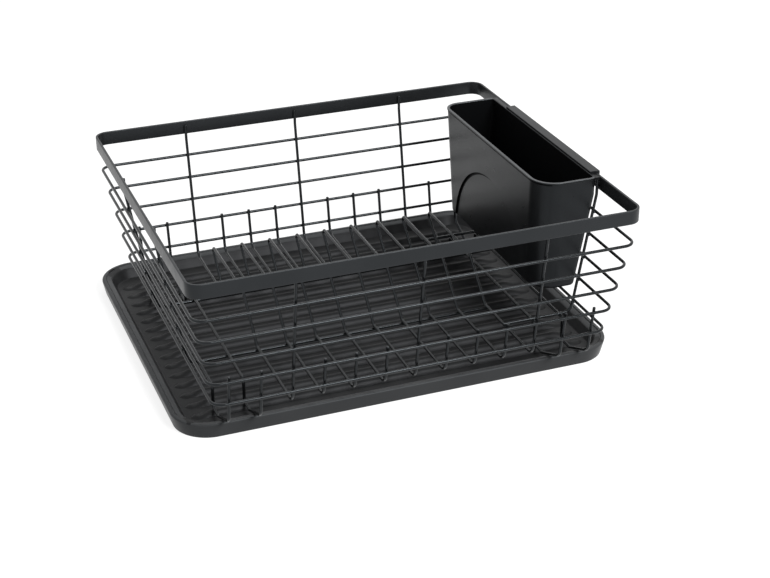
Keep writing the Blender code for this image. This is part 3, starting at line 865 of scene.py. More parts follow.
        start = graph.add("ShaderNodeCombineXYZ", {"Y": size["First Place"]}).outputs["Vector"]
        step = graph.add("ShaderNodeCombineXYZ", {"Y": size["Pitch"]}).outputs["Vector"]
        row = {"Count": size["Count"], "Start Location": start, "Offset": step}
        points = graph.add("GeometryNodeMeshLine", row, mode="OFFSET").outputs["Mesh"]
        ribs = graph.add("GeometryNodeInstanceOnPoints", {"Points": points, "Instance": rib}).outputs["Instances"]
        whole = graph.add("GeometryNodeRealizeInstances", {"Geometry": ribs}).outputs["Geometry"]
        dressed = graph.add("GeometryNodeSetMaterial", {"Geometry": whole, "Material": size["Material"]})
        graph.feed(leave.inputs["Geometry"], dressed.outputs["Geometry"])
        return graph.tree

    @staticmethod
    def grow(name: str, seed: bpy.types.Mesh, tree: bpy.types.NodeTree, values: dict[str, object]) -> bpy.types.Object:
        """Plain mesh object made by a tree from a seed mesh.

        Args:
            name: Name of the object.
            seed: The mesh that the tree starts from.
            tree: The Geometry Nodes tree.
            values: Values of the tree's named inputs.

        Returns:
            The object, with no modifier left on it.
        """
        item = new_object(name, seed)
        modifier = item.modifiers.new(name, "NODES")
        modifier.node_group = tree
        for socket in tree.interface.items_tree:
            if socket.in_out == "INPUT" and socket.name in values:
                modifier[socket.identifier] = values[socket.name]
        bake_modifiers(item)
        item.data.name = name
        return item


# Shares of the end length from a wire's cut end, and shares of its girth there
END_ROUNDING = ((0.0, 0.55), (0.12, 0.80), (0.45, 0.96), (1.0, 1.0))


def polyline(points: Sequence[Triple], bends: Sequence[float], closed: bool, end_length: float) -> bpy.types.Mesh:
    """Mesh of edges along a wire's straight runs, with the bend radius and girth at each point.

    Args:
        points: Corners of the wire's centre line, with both ends.
        bends: Bend radius at each point.
        closed: Whether the wire is a closed hoop.
        end_length: Length of the rounded end at each cut end.

    Returns:
        The mesh.
    """
    places = [Vector(point) for point in points]
    radii = list(bends)
    girths = [1.0] * len(places)
    if not closed:
        # One end is rounded and the lines are turned round, twice
        for _ in range(2):
            towards = (places[1] - places[0]).normalized()
            places[:1] = [places[0] + towards * end_length * share for share, _girth in END_ROUNDING]
            radii[:1] = [0.0] * len(END_ROUNDING)
            girths[:1] = [girth for _share, girth in END_ROUNDING]
            for values in (places, radii, girths):
                values.reverse()
    count = len(places)
    edges = [(index, index + 1) for index in range(count - 1)]
    if closed:
        edges.append((count - 1, 0))
    mesh = bpy.data.meshes.new("wire_line")
    mesh.from_pydata(places, edges, [])
    for name, values in (("bend", radii), ("girth", girths)):
        mesh.attributes.new(name, "FLOAT", "POINT").data.foreach_set("value", values)
    return mesh


# ---- drip tray ------------------------------------------------------------------------------------------------


@dataclass
class DripTray:
    """Moulded tray: a shell with a stepped lip and a sloping inner wall, and a row of ribs.

    Attributes are the tray's own sizes in metres.
    """

    width: float = 0.360
    depth: float = 0.2915
    forward: float = 0.017
    corner_radius: float = 0.0305
    height: float = 0.013
    wall: float = 0.0020
    floor: float = 0.0030
    side_draft: float = 0.0024
    front_draft: float = 0.0032
    back_draft: float = 0.0020
    lip_width: float = 0.0036
    lip_radius: float = 0.0019
    lip_reach: float = 0.00028
    groove_width: float = 0.0004
    groove_depth: float = 0.0011
    ledge_width: float = 0.0016
    ledge_drop: float = 0.0014
    shoulder_inset: float = 0.0084
    shoulder_drop: float = 0.0022
    shoulder_radius: float = 0.0026
    slope_width: float = 0.0072
    floor_overlap: float = 0.004
    edge_radius: float = 0.0007
    rib_count: int = 15
    rib_side_margin: float = 0.0192
    rib_height: float = 0.0040
    rib_width: float = 0.0088
    rib_taper_length: float = 0.0190
    rib_end_height_share: float = 0.45
    rib_climb_start: float = 0.45
    rib_tip_length: float = 0.0060
    rib_leaf_length: float = 0.0132
    rib_end_swell: float = 0.15
    rib_end_margin: float = 0.0030
    rib_root_depth: float = 0.0004
    rib_fullness: float = 0.42
    rib_stations: int = 65
    rib_rows: int = 15
    corner_steps: int = 28
    edge_steps: int = 5
    smooth_angle: float = 30.0
    rib_smooth_angle: float = 60.0
    shaded_matt_slope: float = 0.2

    @property
    def floor_inset(self) -> float:
        """Distance from the outline to the foot of the sloping wall."""
        return self.lip_width + self.ledge_width + self.slope_width

    def profile(self) -> list[Pair]:
        """Section of the wall as inset and height.

        Returns:
            Points from the underside, through the hollow and over the lip, to the floor.
        """
        ledge = self.height - self.ledge_drop
        ledge_inset = self.lip_width + self.ledge_width
        rise = ledge - self.floor
        lean_wall = self.wall * math.hypot(self.slope_width, rise) / rise
        edge = self.edge_radius
        groove_floor = self.height - self.groove_depth
        groove_inner_edge = self.height - self.groove_depth * 0.6
        # Inset, height and corner radius
        corners = (
            # Underside and hollow wall
            (self.floor_inset + lean_wall - self.wall, 0.0, 0.0),
            (ledge_inset + lean_wall - self.wall, ledge - self.wall, edge),
            (self.wall, ledge - self.wall, edge),
            (self.side_draft + self.wall, 0.0, edge / 3),
            # Outer wall and lip
            (self.side_draft, 0.0, edge * 0.8),
            (-self.lip_reach, self.height, self.lip_radius),
            # Groove, shoulder and slope
            (self.lip_width - self.groove_width, self.height, edge),
            (self.lip_width, groove_floor, self.groove_width / 4),
            (self.lip_width + self.groove_width, groove_inner_edge, self.groove_width),
            (self.shoulder_inset, self.height - self.shoulder_drop, self.shoulder_radius),
            (self.floor_inset, self.floor, edge * 2),
            (self.floor_inset + self.floor_overlap, self.floor, 0.0),
        )
        return rounded_profile(corners, self.edge_steps)

    def shell(self, material: bpy.types.Material, matt: bpy.types.Material) -> bpy.types.Object:
        """Build the shell.

        Args:
            material: The finish of the wall and the lip, a lighter copy of the plastic that paints light.
            matt: The finish of the floor, a darker matt copy of the plastic that paints shade.

        Returns:
            The shell's object.
        """
        loops = []
        for inset, level in self.profile():
            x = self.width / 2 - inset
            y = self.depth / 2 - inset
            drawn_in = max(1.0 - level / self.height, 0.0) if inset < self.lip_width else 0.0
            front = self.forward - y + (self.front_draft - self.side_draft) * drawn_in
            back = self.forward + y - (self.back_draft - self.side_draft) * drawn_in
            radii = [self.corner_radius - inset] * 4
            loops.append(rounded_outline((-x, front), (x, back), radii, level, self.corner_steps))
        mesh = loft_mesh("tray_shell", loops)
        soften(mesh, self.smooth_angle)
        item = new_object("tray_shell", mesh, material)

        def is_shaded_matt(place: Vector, normal: Vector) -> bool:
            """Whether a face is on the floor or on the slope inside the shoulder, which get painted shade.

            Args:
                place: The face's middle.
                normal: The face's normal.

            Returns:
                True for such a face.
            """
            within_x = abs(place.x) < self.width / 2 - self.shoulder_inset
            within_y = abs(place.y - self.forward) < self.depth / 2 - self.shoulder_inset
            above = place.z > self.floor * 0.9
            return within_x and within_y and above and normal.z > self.shaded_matt_slope

        # The floor and the slope inside the shoulder get the darker copy: painted shade
        add_finish(mesh, matt, is_shaded_matt)
        return item

    def ribs(self, forms: Forms, material: bpy.types.Material) -> bpy.types.Object:
        """Build the row of ribs.

        Args:
            forms: The Geometry Nodes trees.
            material: The floor's finish, whose darker colour is painted shade.

        Returns:
            The ribs' object.
        """
        side = self.depth / 2 - self.floor_inset - self.rib_side_margin
        values = {
            "Count": self.rib_count,
            "First Place": self.forward - side,
            "Pitch": side * 2 / (self.rib_count - 1),
            "Reach": self.width / 2 - self.floor_inset - self.rib_end_margin,
            "Width": self.rib_width,
            "Height": self.rib_height,
            "Taper Length": self.rib_taper_length,
            "Tip Length": self.rib_tip_length,
            "Leaf Length": self.rib_leaf_length,
            "End Swell": self.rib_end_swell,
            "End Height Share": self.rib_end_height_share,
            "Climb Start": self.rib_climb_start,
            "Fullness": self.rib_fullness,
            "Floor Level": self.floor,
            "Root Depth": self.rib_root_depth,
            "Stations": self.rib_stations,
            "Rows": self.rib_rows,
            "Material": material,
        }
        seed = bpy.data.meshes.new("rib_seed")
        item = forms.grow("tray_ribs", seed, forms.rib_row, values)
        soften(item.data, self.rib_smooth_angle)
        return item

    def build(self, forms: Forms, effects: FinishEffects) -> None:
        """Build and dress the tray.

        Args:
            forms: The Geometry Nodes trees.
            effects: The shared shader groups.
        """
        # Darker copy for the floor, painted shade; lighter copy for the shell, painted light
        matt = TRAY_SHADED_FLOOR.material(effects)
        settle(self.shell(TRAY_LIT_MOULDING.material(effects), matt), Body.TRAY, Slot.TRAY, "drip_tray")
        settle(self.ribs(forms, matt), Body.TRAY, Slot.TRAY)


# ---- wire basket ----------------------------------------------------------------------------------------------


@dataclass
class WireBasket:
    """Welded basket: rim band, hoops, plate wires, foot wires and side wires.

    Attributes are the basket's own sizes in metres. Heights are from the undersides of its feet.
    """

    place: float = -0.01025
    base: float = 0.0073
    height: float = 0.1387
    wire_radius: float = 0.0012
    weld_gap: float = 0.0003
    rim_width: float = 0.350
    rim_depth: float = 0.305
    rim_corner_radius: float = 0.0110
    band_height: float = 0.0112
    band_thickness: float = 0.0020
    band_edge_radius: float = 0.00055
    hoop_count: int = 5
    top_hoop_drop: float = 0.0299
    bottom_hoop_rise: float = 0.0111
    hoop_corner_radius: float = 0.0092
    side_wall_run: float = 0.0162
    front_wall_run: float = 0.0154
    rack_wire_count: int = 13
    end_wire_margin: float = 0.0077
    full_height_wires: tuple[int, ...] = (2, 6, 10)
    end_wires_per_side: int = 2
    full_wire_end_drop: float = 0.0030
    short_wire_hoop: int = 4
    short_wire_nub: float = 0.0024
    wall_knee_drop: float = 0.0040
    knee_bend: float = 0.0060
    floor_bend: float = 0.0080
    slot_rise: float = 0.0323
    slot_lean: float = 0.0335
    slot_front_landing: float = 0.0886
    slot_rear_landing: float = 0.0833
    slot_bend: float = 0.0029
    foot_drop: float = 0.0195
    foot_length: float = 0.0145
    foot_lip_distance: float = 0.0175
    tray_front_overhang: float = 0.0340
    shoulder_level: float = 0.0137
    foot_bend: float = 0.0032
    side_wire_end_overhang: float = 0.0030
    right_wire_step_margin: float = 0.0025
    band_weld_rise: float = 0.0024
    band_weld_drop: float = 0.0016
    bead_radius: float = 0.00125
    bead_height: float = 0.00085
    bead_fineness: int = 2
    cut_end_share: float = 0.45
    bend_steps: int = 7
    wire_sides: int = 16
    band_edge_steps: int = 5
    band_corner_steps: int = 20
    wire_smooth_angle: float = 50.0
    band_smooth_angle: float = 40.0
    bead_smooth_angle: float = 80.0
    beads: list[tuple[Triple, Triple]] = field(default_factory=list)

    @property
    def floor_level(self) -> float:
        """Height of the floor wires' centre lines."""
        return self.wire_radius + self.foot_drop

    @property
    def knee_level(self) -> float:
        """Height where the wall wires turn in."""
        return self.height - self.band_height - self.wall_knee_drop

    @property
    def bottom_hoop_level(self) -> float:
        """Height of the lowest hoop."""
        return self.floor_level + self.bottom_hoop_rise

    @property
    def spacing(self) -> float:
        """Distance between the centre lines of two welded wires."""
        return self.wire_radius * 2 + self.weld_gap

    def seat(self, rim_size: float) -> float:
        """Half distance between wires against the inside of the band.

        Args:
            rim_size: The band's outer width or depth.

        Returns:
            The half distance.
        """
        return rim_size / 2 - self.band_thickness - self.weld_gap - self.wire_radius

    def lean(self, run: float) -> float:
        """Lean of a wall from how far it comes in between its knee and the bottom hoop."""
        return run / (self.knee_level - self.bottom_hoop_level)

    def depth_place(self, level: float) -> float:
        """Half distance between the front and back wall wires at a height."""
        return self.seat(self.rim_depth) - self.lean(self.front_wall_run) * max(self.knee_level - level, 0.0)

    def width_place(self, level: float) -> float:
        """Half distance between the left and right wall wires at a height."""
        return self.seat(self.rim_width) - self.lean(self.side_wall_run) * max(self.knee_level - level, 0.0)

    def rack_wire_place(self, index: int) -> float:
        """X of a rack wire, counted from the left."""
        reach = self.width_place(self.floor_level) - self.end_wire_margin
        return reach * (2 * index / (self.rack_wire_count - 1) - 1)

    def foot_step(self) -> float:
        """Half distance between the steps of the feet."""
        return self.rim_depth / 2 - self.tray_front_overhang - self.foot_lip_distance - self.foot_length

    def slot_front(self) -> float:
        """Y of the corner where the slots' front legs meet the floor."""
        return self.slot_front_landing - self.depth_place(self.floor_level)

    def slot_rear(self) -> float:
        """Y of the corner where the slots' rear legs meet the floor."""
        return self.depth_place(self.floor_level) - self.slot_rear_landing

    def hoop_level(self, number: int) -> float:
        """Height of a hoop, with hoop 1 at the top."""
        top = self.height - self.top_hoop_drop
        return top - (top - self.bottom_hoop_level) / (self.hoop_count - 1) * (number - 1)

    def hoop_half_sizes(self, number: int) -> Pair:
        """Half width and half depth of a hoop's centre line.

        Args:
            number: The hoop's number, with hoop 1 at the top.

        Returns:
            The two half sizes.
        """
        level = self.hoop_level(number)
        width_out = self.spacing * math.hypot(1, self.lean(self.side_wall_run))
        depth_out = self.spacing * math.hypot(1, self.lean(self.front_wall_run))
        return self.width_place(level) + width_out, self.depth_place(level) + depth_out

    def at(self, x: float, y: float, z: float) -> Triple:
        """Point of the basket as a point of the whole object."""
        return (x, y + self.place, z + self.base)

    def wire(
        self,
        name: str,
        points: Sequence[Triple],
        bends: Sequence[float],
        forms: Forms,
        material: bpy.types.Material,
        closed: bool = False,
    ) -> None:
        """Build one wire and settle it in place of its node.

        Args:
            name: Name of the node that it replaces.
            points: Corners of its centre line in the basket's own frame.
            bends: Bend radius at each point.
            forms: The Geometry Nodes trees.
            material: Its finish.
            closed: Whether it is a closed hoop.
        """
        end_length = self.wire_radius * self.cut_end_share
        seed = polyline([self.at(*point) for point in points], bends, closed, end_length)
        values = {
            "Wire Radius": self.wire_radius,
            "Bend Steps": self.bend_steps,
            "Sides": self.wire_sides,
            "Material": material,
        }
        item = forms.grow(f"{name}_coated", seed, forms.bent_wire, values)
        soften(item.data, self.wire_smooth_angle)
        settle(item, Body.BASKET, Slot.WIRE, name)

    def rim(self, material: bpy.types.Material) -> None:
        """Build the flat band with rounded edges.

        Args:
            material: The band's finish.
        """
        low = self.height - self.band_height
        edge = self.band_edge_radius
        thick = self.band_thickness
        middle = thick / 2
        # Inset, height and corner radius
        corners = (
            (middle, low, 0.0),
            (0.0, low, edge),
            (0.0, self.height, edge),
            (thick, self.height, edge),
            (thick, low, edge),
            (middle, low, 0.0),
        )
        section = rounded_profile(corners, self.band_edge_steps)[:-1]
        loops = []
        for inset, level in section:
            x = self.rim_width / 2 - inset
            y = self.rim_depth / 2 - inset
            radii = [self.rim_corner_radius - inset] * 4
            low_corner = (-x, self.place - y)
            high_corner = (x, self.place + y)
            steps = self.band_corner_steps
            loops.append(rounded_outline(low_corner, high_corner, radii, self.base + level, steps))
        mesh = loft_mesh("rim_band_coated", loops, ring=True)
        soften(mesh, self.band_smooth_angle)
        settle(new_object("rim_band_coated", mesh, material), Body.BASKET, Slot.BAND, "rim_band")

    def hoops(self, forms: Forms, material: bpy.types.Material) -> None:
        """Build the five closed hoops.

        Args:
            forms: The Geometry Nodes trees.
            material: Their finish.
        """
        for number in range(1, self.hoop_count + 1):
            level = self.hoop_level(number)
            x, y = self.hoop_half_sizes(number)
            corners = ((-x, -y, level), (x, -y, level), (x, y, level), (-x, y, level))
            # A point in the middle of each side keeps the corners' bends apart
            points = []
            bends = []
            for here, after in zip(corners, corners[1:] + corners[:1]):
                points += [here, tuple((a + b) / 2 for a, b in zip(here, after))]
                bends += [self.hoop_corner_radius, 0.0]
            self.wire(f"hoop_{number}", points, bends, forms, material, closed=True)

    def plate_wire_points(self, full_height: bool) -> tuple[list[Pair], list[float]]:
        """Corners and bends of a plate wire in the YZ plane.

        Args:
            full_height: Whether it runs up inside the band.

        Returns:
            The corners as Y and Z, and the bend radius at each.
        """
        corner = self.depth_place(self.floor_level)
        floor = self.floor_level
        peak = floor + self.slot_rise
        points = [
            (corner, floor),
            (self.slot_rear(), floor),
            (self.slot_rear() + self.slot_lean, peak),
            (self.slot_front() + self.slot_lean, peak),
            (self.slot_front(), floor),
            (-corner, floor),
        ]
        bends = [self.floor_bend] + [self.slot_bend] * 4 + [self.floor_bend]
        if full_height:
            end = self.height - self.full_wire_end_drop
            seat = self.depth_place(end)
            knee = self.knee_level
            points = [(seat, end), (seat, knee), *points, (-seat, knee), (-seat, end)]
            bends = [0.0, self.knee_bend, *bends, self.knee_bend, 0.0]
        else:
            end = self.short_wire_top()
            points = [(self.depth_place(end), end), *points, (-self.depth_place(end), end)]
            bends = [0.0, *bends, 0.0]
        return points, bends

    def short_wire_top(self) -> float:
        """Height where the short wires end."""
        return self.hoop_level(self.short_wire_hoop) + self.wire_radius + self.short_wire_nub

    def foot_wire_points(self) -> tuple[list[Pair], list[float]]:
        """Corners and bends of a foot wire in the YZ plane.

        Returns:
            The corners as Y and Z, and the bend radius at each.
        """
        end = self.short_wire_top()
        step = self.foot_step()
        foot = self.wire_radius
        half = [
            (self.depth_place(end), end),
            (self.depth_place(self.shoulder_level), self.shoulder_level),
            (step + self.foot_length, foot),
            (step, foot),
            (step, self.floor_level),
        ]
        points = half + [(-y, z) for y, z in reversed(half)]
        bends = [0.0, self.floor_bend] + [self.foot_bend] * 6 + [self.floor_bend, 0.0]
        return points, bends

    def rack_wires(self, forms: Forms, material: bpy.types.Material) -> None:
        """Build the thirteen wires from front to back.

        Args:
            forms: The Geometry Nodes trees.
            material: Their finish.
        """
        last = self.rack_wire_count - self.end_wires_per_side
        for index in range(self.rack_wire_count):
            x = self.rack_wire_place(index)
            if self.end_wires_per_side <= index < last:
                full_height = index in self.full_height_wires
                flat, bends = self.plate_wire_points(full_height)
                name = f"plate_wire_{index - self.end_wires_per_side + 1}"
                first_hoop = 1 if full_height else self.short_wire_hoop
            else:
                full_height = False
                flat, bends = self.foot_wire_points()
                on_left = index < self.end_wires_per_side
                name = f"foot_wire_{index + 1 if on_left else index - last + self.end_wires_per_side + 1}"
                first_hoop = self.short_wire_hoop
            self.wire(name, [(x, y, z) for y, z in flat], bends, forms, material)
            self.wall_welds(x, first_hoop, full_height)

    @property
    def band_weld_levels(self) -> Pair:
        """Heights of the two welds between the band and a wire that runs up inside it."""
        low = self.height - self.band_height + self.band_weld_rise
        return low, self.height - self.full_wire_end_drop - self.band_weld_drop

    def wall_welds(self, x: float, first_hoop: int, at_band: bool) -> None:
        """Note the welds of a rack wire with the hoops and the band.

        Args:
            x: Place of the wire.
            first_hoop: The highest hoop that it crosses.
            at_band: Whether it is welded to the band too.
        """
        lean = self.lean(self.front_wall_run)
        for side in (-1, 1):
            out = (0.0, side * 1.0, -lean)
            for number in range(first_hoop, self.hoop_count + 1):
                level = self.hoop_level(number)
                y = self.depth_place(level) + self.spacing / 2
                self.beads.append(((x, side * y, level - lean * self.spacing / 2), out))
            if at_band:
                y = self.seat(self.rim_depth) + self.wire_radius
                for level in self.band_weld_levels:
                    self.beads.append(((x, side * y, level), (0.0, side * 1.0, 0.0)))

    def side_wires(self, forms: Forms, material: bpy.types.Material) -> None:
        """Build the wires that come down the left and right walls.

        Args:
            forms: The Geometry Nodes trees.
            material: Their finish.
        """
        turn = math.atan2(self.slot_rise, self.slot_lean)
        front = self.slot_front() - self.slot_bend * math.tan(turn / 2)
        rear = self.slot_rear() + self.slot_bend / math.tan(turn / 2)
        right = self.foot_step() - self.right_wire_step_margin
        under = self.floor_level - self.spacing
        over = self.floor_level + self.spacing
        last_plate = self.rack_wire_place(self.rack_wire_count - 1 - self.end_wires_per_side)
        last_foot = self.rack_wire_place(self.rack_wire_count - 1)
        overhang = self.side_wire_end_overhang
        wires = (
            ("side_wire_left_front", -1, under, last_plate + overhang, front),
            ("side_wire_left_rear", -1, under, last_foot + overhang, rear),
            ("side_wire_right_front", 1, over, last_plate - overhang, -right),
            ("side_wire_right_rear", 1, over, last_plate - overhang, right),
        )
        end = self.height - self.full_wire_end_drop
        seat = self.width_place(end)
        lean = self.lean(self.side_wall_run)
        for name, side, level, end_place, y in wires:
            points = [
                (side * seat, y, end),
                (side * seat, y, self.knee_level),
                (side * self.width_place(level), y, level),
                (end_place, y, level),
            ]
            self.wire(name, points, [0.0, self.knee_bend, self.floor_bend, 0.0], forms, material)
            for number in range(1, self.hoop_count + 1):
                height = self.hoop_level(number)
                x = self.width_place(height) + self.spacing / 2
                self.beads.append(((side * x, y, height - lean * self.spacing / 2), (side * 1.0, 0.0, -lean)))
            for height in self.band_weld_levels:
                self.beads.append(((side * (seat + self.wire_radius), y, height), (side * 1.0, 0.0, 0.0)))
            for index in range(self.rack_wire_count):
                x = self.rack_wire_place(index)
                crossed = x < end_place if side < 0 else x > end_place
                if crossed:
                    self.beads.append(((x, y, (level + self.floor_level) / 2), (0.0, 0.0, 1.0)))

    def weld_beads(self, forms: Forms, material: bpy.types.Material) -> None:
        """Build the small beads of every weld as one piece.

        Args:
            forms: The Geometry Nodes trees.
            material: The wires' finish.
        """
        seed = bpy.data.meshes.new("weld_points")
        seed.from_pydata([self.at(*place) for place, _facing in self.beads], [], [])
        facings = [value for _place, facing in self.beads for value in facing]
        seed.attributes.new("facing", "FLOAT_VECTOR", "POINT").data.foreach_set("vector", facings)
        values = {
            "Bead Radius": self.bead_radius,
            "Bead Height": self.bead_height,
            "Fineness": self.bead_fineness,
            "Material": material,
        }
        item = forms.grow("weld_beads", seed, forms.weld_bead, values)
        soften(item.data, self.bead_smooth_angle)
        settle(item, Body.BASKET, Slot.WIRE)

    def build(self, forms: Forms, effects: FinishEffects) -> None:
        """Build and dress the basket.

        Args:
            forms: The Geometry Nodes trees.
            effects: The shared shader groups.
        """
        wire = WIRE_COAT.material(effects)
        self.rim(BAND_COAT.material(effects))
        self.hoops(forms, wire)
        self.rack_wires(forms, wire)
        self.side_wires(forms, wire)
        self.weld_beads(forms, wire)


# ---- cutlery caddy --------------------------------------------------------------------------------------------


@dataclass
class CutleryCaddy:
    """Moulded pot with a hook over the band, a round relief and drain holes.

    Attributes are the caddy's own sizes in metres, in the basket's own frame.
    """

    basket: WireBasket
    floor_clearance: float = 0.0260
    front_margin: float = 0.0645
    back_margin: float = 0.0438
    front_draft: float = 0.0015
    back_draft: float = 0.0125
    top_breadth: float = 0.0485
    face_draft: float = 0.0006
    wall: float = 0.0020
    floor: float = 0.0025
    front_radius: float = 0.0200
    back_radius: float = 0.0130
    outer_radius: float = 0.0045
    least_corner_share: float = 0.25
    base_radius: float = 0.0040
    base_overlap: float = 0.0010
    bead: float = 0.0005
    bead_height: float = 0.0016
    seat_gap: float = 0.0003
    hole_radius: float = 0.0030
    hole_pitch: float = 0.0260
    hole_count: int = 5
    hole_sides: int = 32
    hole_cut_depth: float = 0.008
    relief_radius: float = 0.0675
    relief_depth: float = 0.0014
    relief_centre_drop: float = 0.0063
    relief_overrun: float = 0.004
    relief_sides: int = 200
    # Width, turn and clearance of the crescent of painted shade beside the relief's step
    relief_shade: float = 0.0024
    relief_shade_turn: float = 26.0
    relief_shade_clearance: float = 0.00005
    # Height of the strip of painted shade under the bead
    bead_shade: float = 0.0009
    hook_front_margin: float = 0.0087
    hook_back_margin: float = 0.0287
    hook_thickness: float = 0.0014
    hook_lip_thickness: float = 0.0016
    hook_lip_depth: float = 0.0086
    hook_root_depth: float = 0.0014
    soft_edge: float = 0.00014
    soft_edge_segments: int = 2
    soft_edge_angle: float = 50.0
    smooth_angle: float = 35.0
    corner_steps: int = 20
    edge_steps: int = 4

    @property
    def base(self) -> float:
        """Height of the underside above the basket's feet."""
        return self.basket.floor_level + self.floor_clearance

    @property
    def height(self) -> float:
        """Height from the underside to the mouth."""
        return self.basket.height - self.base

    @property
    def length(self) -> float:
        """Length of the mouth along Y."""
        return self.basket.rim_depth - self.basket.band_thickness * 2 - self.front_margin - self.back_margin

    @property
    def place(self) -> float:
        """Y of the mouth's middle."""
        return (self.front_margin - self.back_margin) / 2

    @property
    def face_top(self) -> float:
        """X of the broad face at the mouth."""
        return self.outer_place(self.basket.height) - self.top_breadth

    @property
    def middle(self) -> Vector:
        """X and Y of the mouth's middle in the whole object's frame."""
        return Vector((self.outer_place(self.basket.height) - self.top_breadth / 2, self.place + self.basket.place))

    def outer_place(self, level: float) -> float:
        """X of the outer wall at a height, resting against the side wires."""
        lean = self.basket.lean(self.basket.side_wall_run)
        return self.basket.width_place(level) - (self.basket.wire_radius + self.seat_gap) * math.hypot(1, lean)

    def outline(self, inset: float, rise: float) -> list[Vector]:
        """Loop round the outer wall, drawn in by an inset.

        Args:
            inset: Distance inwards.
            rise: Height above the underside.

        Returns:
            The loop's points in the whole object's frame.
        """
        share = rise / self.height
        x_high = self.outer_place(self.base + rise)
        x_low = self.face_top + self.face_draft * (1 - share)
        y_low = self.place - self.length / 2 + self.front_draft * (1 - share)
        y_high = self.place + self.length / 2 - self.back_draft * (1 - share)
        radii = (self.outer_radius, self.outer_radius, self.back_radius, self.front_radius)
        least = self.wall * self.least_corner_share
        corners = [max(radius - inset, least) for radius in radii]
        shift = self.basket.place
        low = (x_low + inset, y_low + inset + shift)
        high = (x_high - inset, y_high - inset + shift)
        return rounded_outline(low, high, corners, self.basket.base + self.base + rise, self.corner_steps)

    def pot(self, material: bpy.types.Material) -> bpy.types.Object:
        """Build the open pot with its thin bead round the mouth.

        Args:
            material: The caddy's finish.

        Returns:
            The pot's object.
        """
        top = self.height
        knee = self.basket.knee_level - self.base
        # Inset, height and corner radius
        corners = (
            (self.base_radius + self.base_overlap, 0.0, 0.0),
            (0.0, 0.0, self.base_radius),
            (0.0, knee, 0.0),
            # This ring bounds the strip of painted shade under the bead
            (0.0, top - self.bead_height - self.bead_shade, 0.0),
            (0.0, top - self.bead_height, 0.0002),
            (-self.bead, top - self.bead_height + self.bead, 0.0002),
            (-self.bead, top, 0.0004),
            (self.wall, top, 0.0005),
            (self.wall, knee, 0.0),
            (self.wall, self.floor, self.base_radius * 0.7),
            (self.wall + self.base_radius, self.floor, 0.0),
        )
        loops = [self.outline(inset, rise) for inset, rise in rounded_profile(corners, self.edge_steps)]
        mesh = loft_mesh("cutlery_caddy_moulding", loops)
        return new_object("cutlery_caddy_moulding", mesh, material)

    def bar(self, name: str, section: Sequence[Pair], ends: Pair, material: bpy.types.Material) -> bpy.types.Object:
        """Bar of constant section along Y.

        Args:
            name: Name of the object.
            section: X and Z of its outline in the basket's own frame.
            ends: Y of its two ends in the basket's own frame.
            material: The caddy's finish.

        Returns:
            The bar's object.
        """
        loops = [[Vector(self.basket.at(x, y, z)) for x, z in section] for y in ends]
        return new_object(name, loft_mesh(name, loops), material)

    def shelf(self, material: bpy.types.Material) -> bpy.types.Object:
        """Build the shelf from the outer wall to the band, just above the ends of the side wires.

        Args:
            material: The caddy's finish.

        Returns:
            The shelf's object.
        """
        basket = self.basket
        wall_in = self.outer_place(basket.height) - self.wall + basket.weld_gap
        band_in = basket.rim_width / 2 - basket.band_thickness - self.seat_gap
        under = basket.height - basket.full_wire_end_drop + self.seat_gap
        over = basket.height - self.bead / 2
        section = ((wall_in, under), (band_in, under), (band_in, over), (wall_in, over))
        half = self.length / 2 - self.bead
        return self.bar("shelf_part", section, (self.place - half, self.place + half), material)

    def hook(self, material: bpy.types.Material) -> bpy.types.Object:
        """Build the flange over the band with its outer lip.

        Args:
            material: The caddy's finish.

        Returns:
            The hook's object.
        """
        basket = self.basket
        wall_out = basket.rim_width / 2 - basket.band_thickness - self.seat_gap * 2
        wall_in = self.outer_place(basket.height) - self.wall + basket.weld_gap * 2
        lip_in = basket.rim_width / 2 + self.seat_gap
        lip_out = lip_in + self.hook_lip_thickness
        under = basket.height + self.seat_gap
        over = under + self.hook_thickness
        root = basket.height - self.hook_root_depth
        # X, Z and corner radius
        corners = (
            ((wall_in + wall_out) / 2, root, 0.0),
            (wall_out, root, 0.0),
            (wall_out, under, 0.0),
            (lip_in, under, 0.0002),
            (lip_in, over - self.hook_lip_depth, 0.0003),
            (lip_out, over - self.hook_lip_depth, 0.0006),
            (lip_out, over, 0.0007),
            (wall_in, over, 0.0005),
            (wall_in, root, 0.0),
            ((wall_in + wall_out) / 2, root, 0.0),
        )
        section = rounded_profile(corners, self.edge_steps)[:-1]
        half = self.length / 2
        ends = (self.place - half + self.hook_front_margin, self.place + half - self.hook_back_margin)
        return self.bar("hook_part", section, ends, material)

    def drain_hole(self, x: float, y: float) -> bpy.types.Object:
        """Upright cylinder that cuts one drain hole.

        Args:
            x: Place of its middle in the basket's own frame.
            y: The same along Y.

        Returns:
            The cylinder's object.
        """
        size = {"radius1": self.hole_radius, "radius2": self.hole_radius, "depth": self.hole_cut_depth}
        shape = bmesh.new()
        bmesh.ops.create_cone(shape, cap_ends=True, segments=self.hole_sides, **size)
        mesh = bpy.data.meshes.new("hole_part")
        shape.to_mesh(mesh)
        shape.free()
        item = new_object("hole_part", mesh)
        item.location = self.basket.at(x, y, self.base + self.floor / 2)
        return item

    @property
    def clear_radius(self) -> float:
        """Radius of the part of the relief's floor that gets no painted shade from its step."""
        return self.relief_radius - self.relief_shade / 2

    @property
    def relief_shade_shift(self) -> Pair:
        """Y and Z from the relief's centre to the centre of the clear part of its floor."""
        turn = math.radians(self.relief_shade_turn)
        return -self.relief_shade / 2 * math.cos(turn), -self.relief_shade / 2 * math.sin(turn)

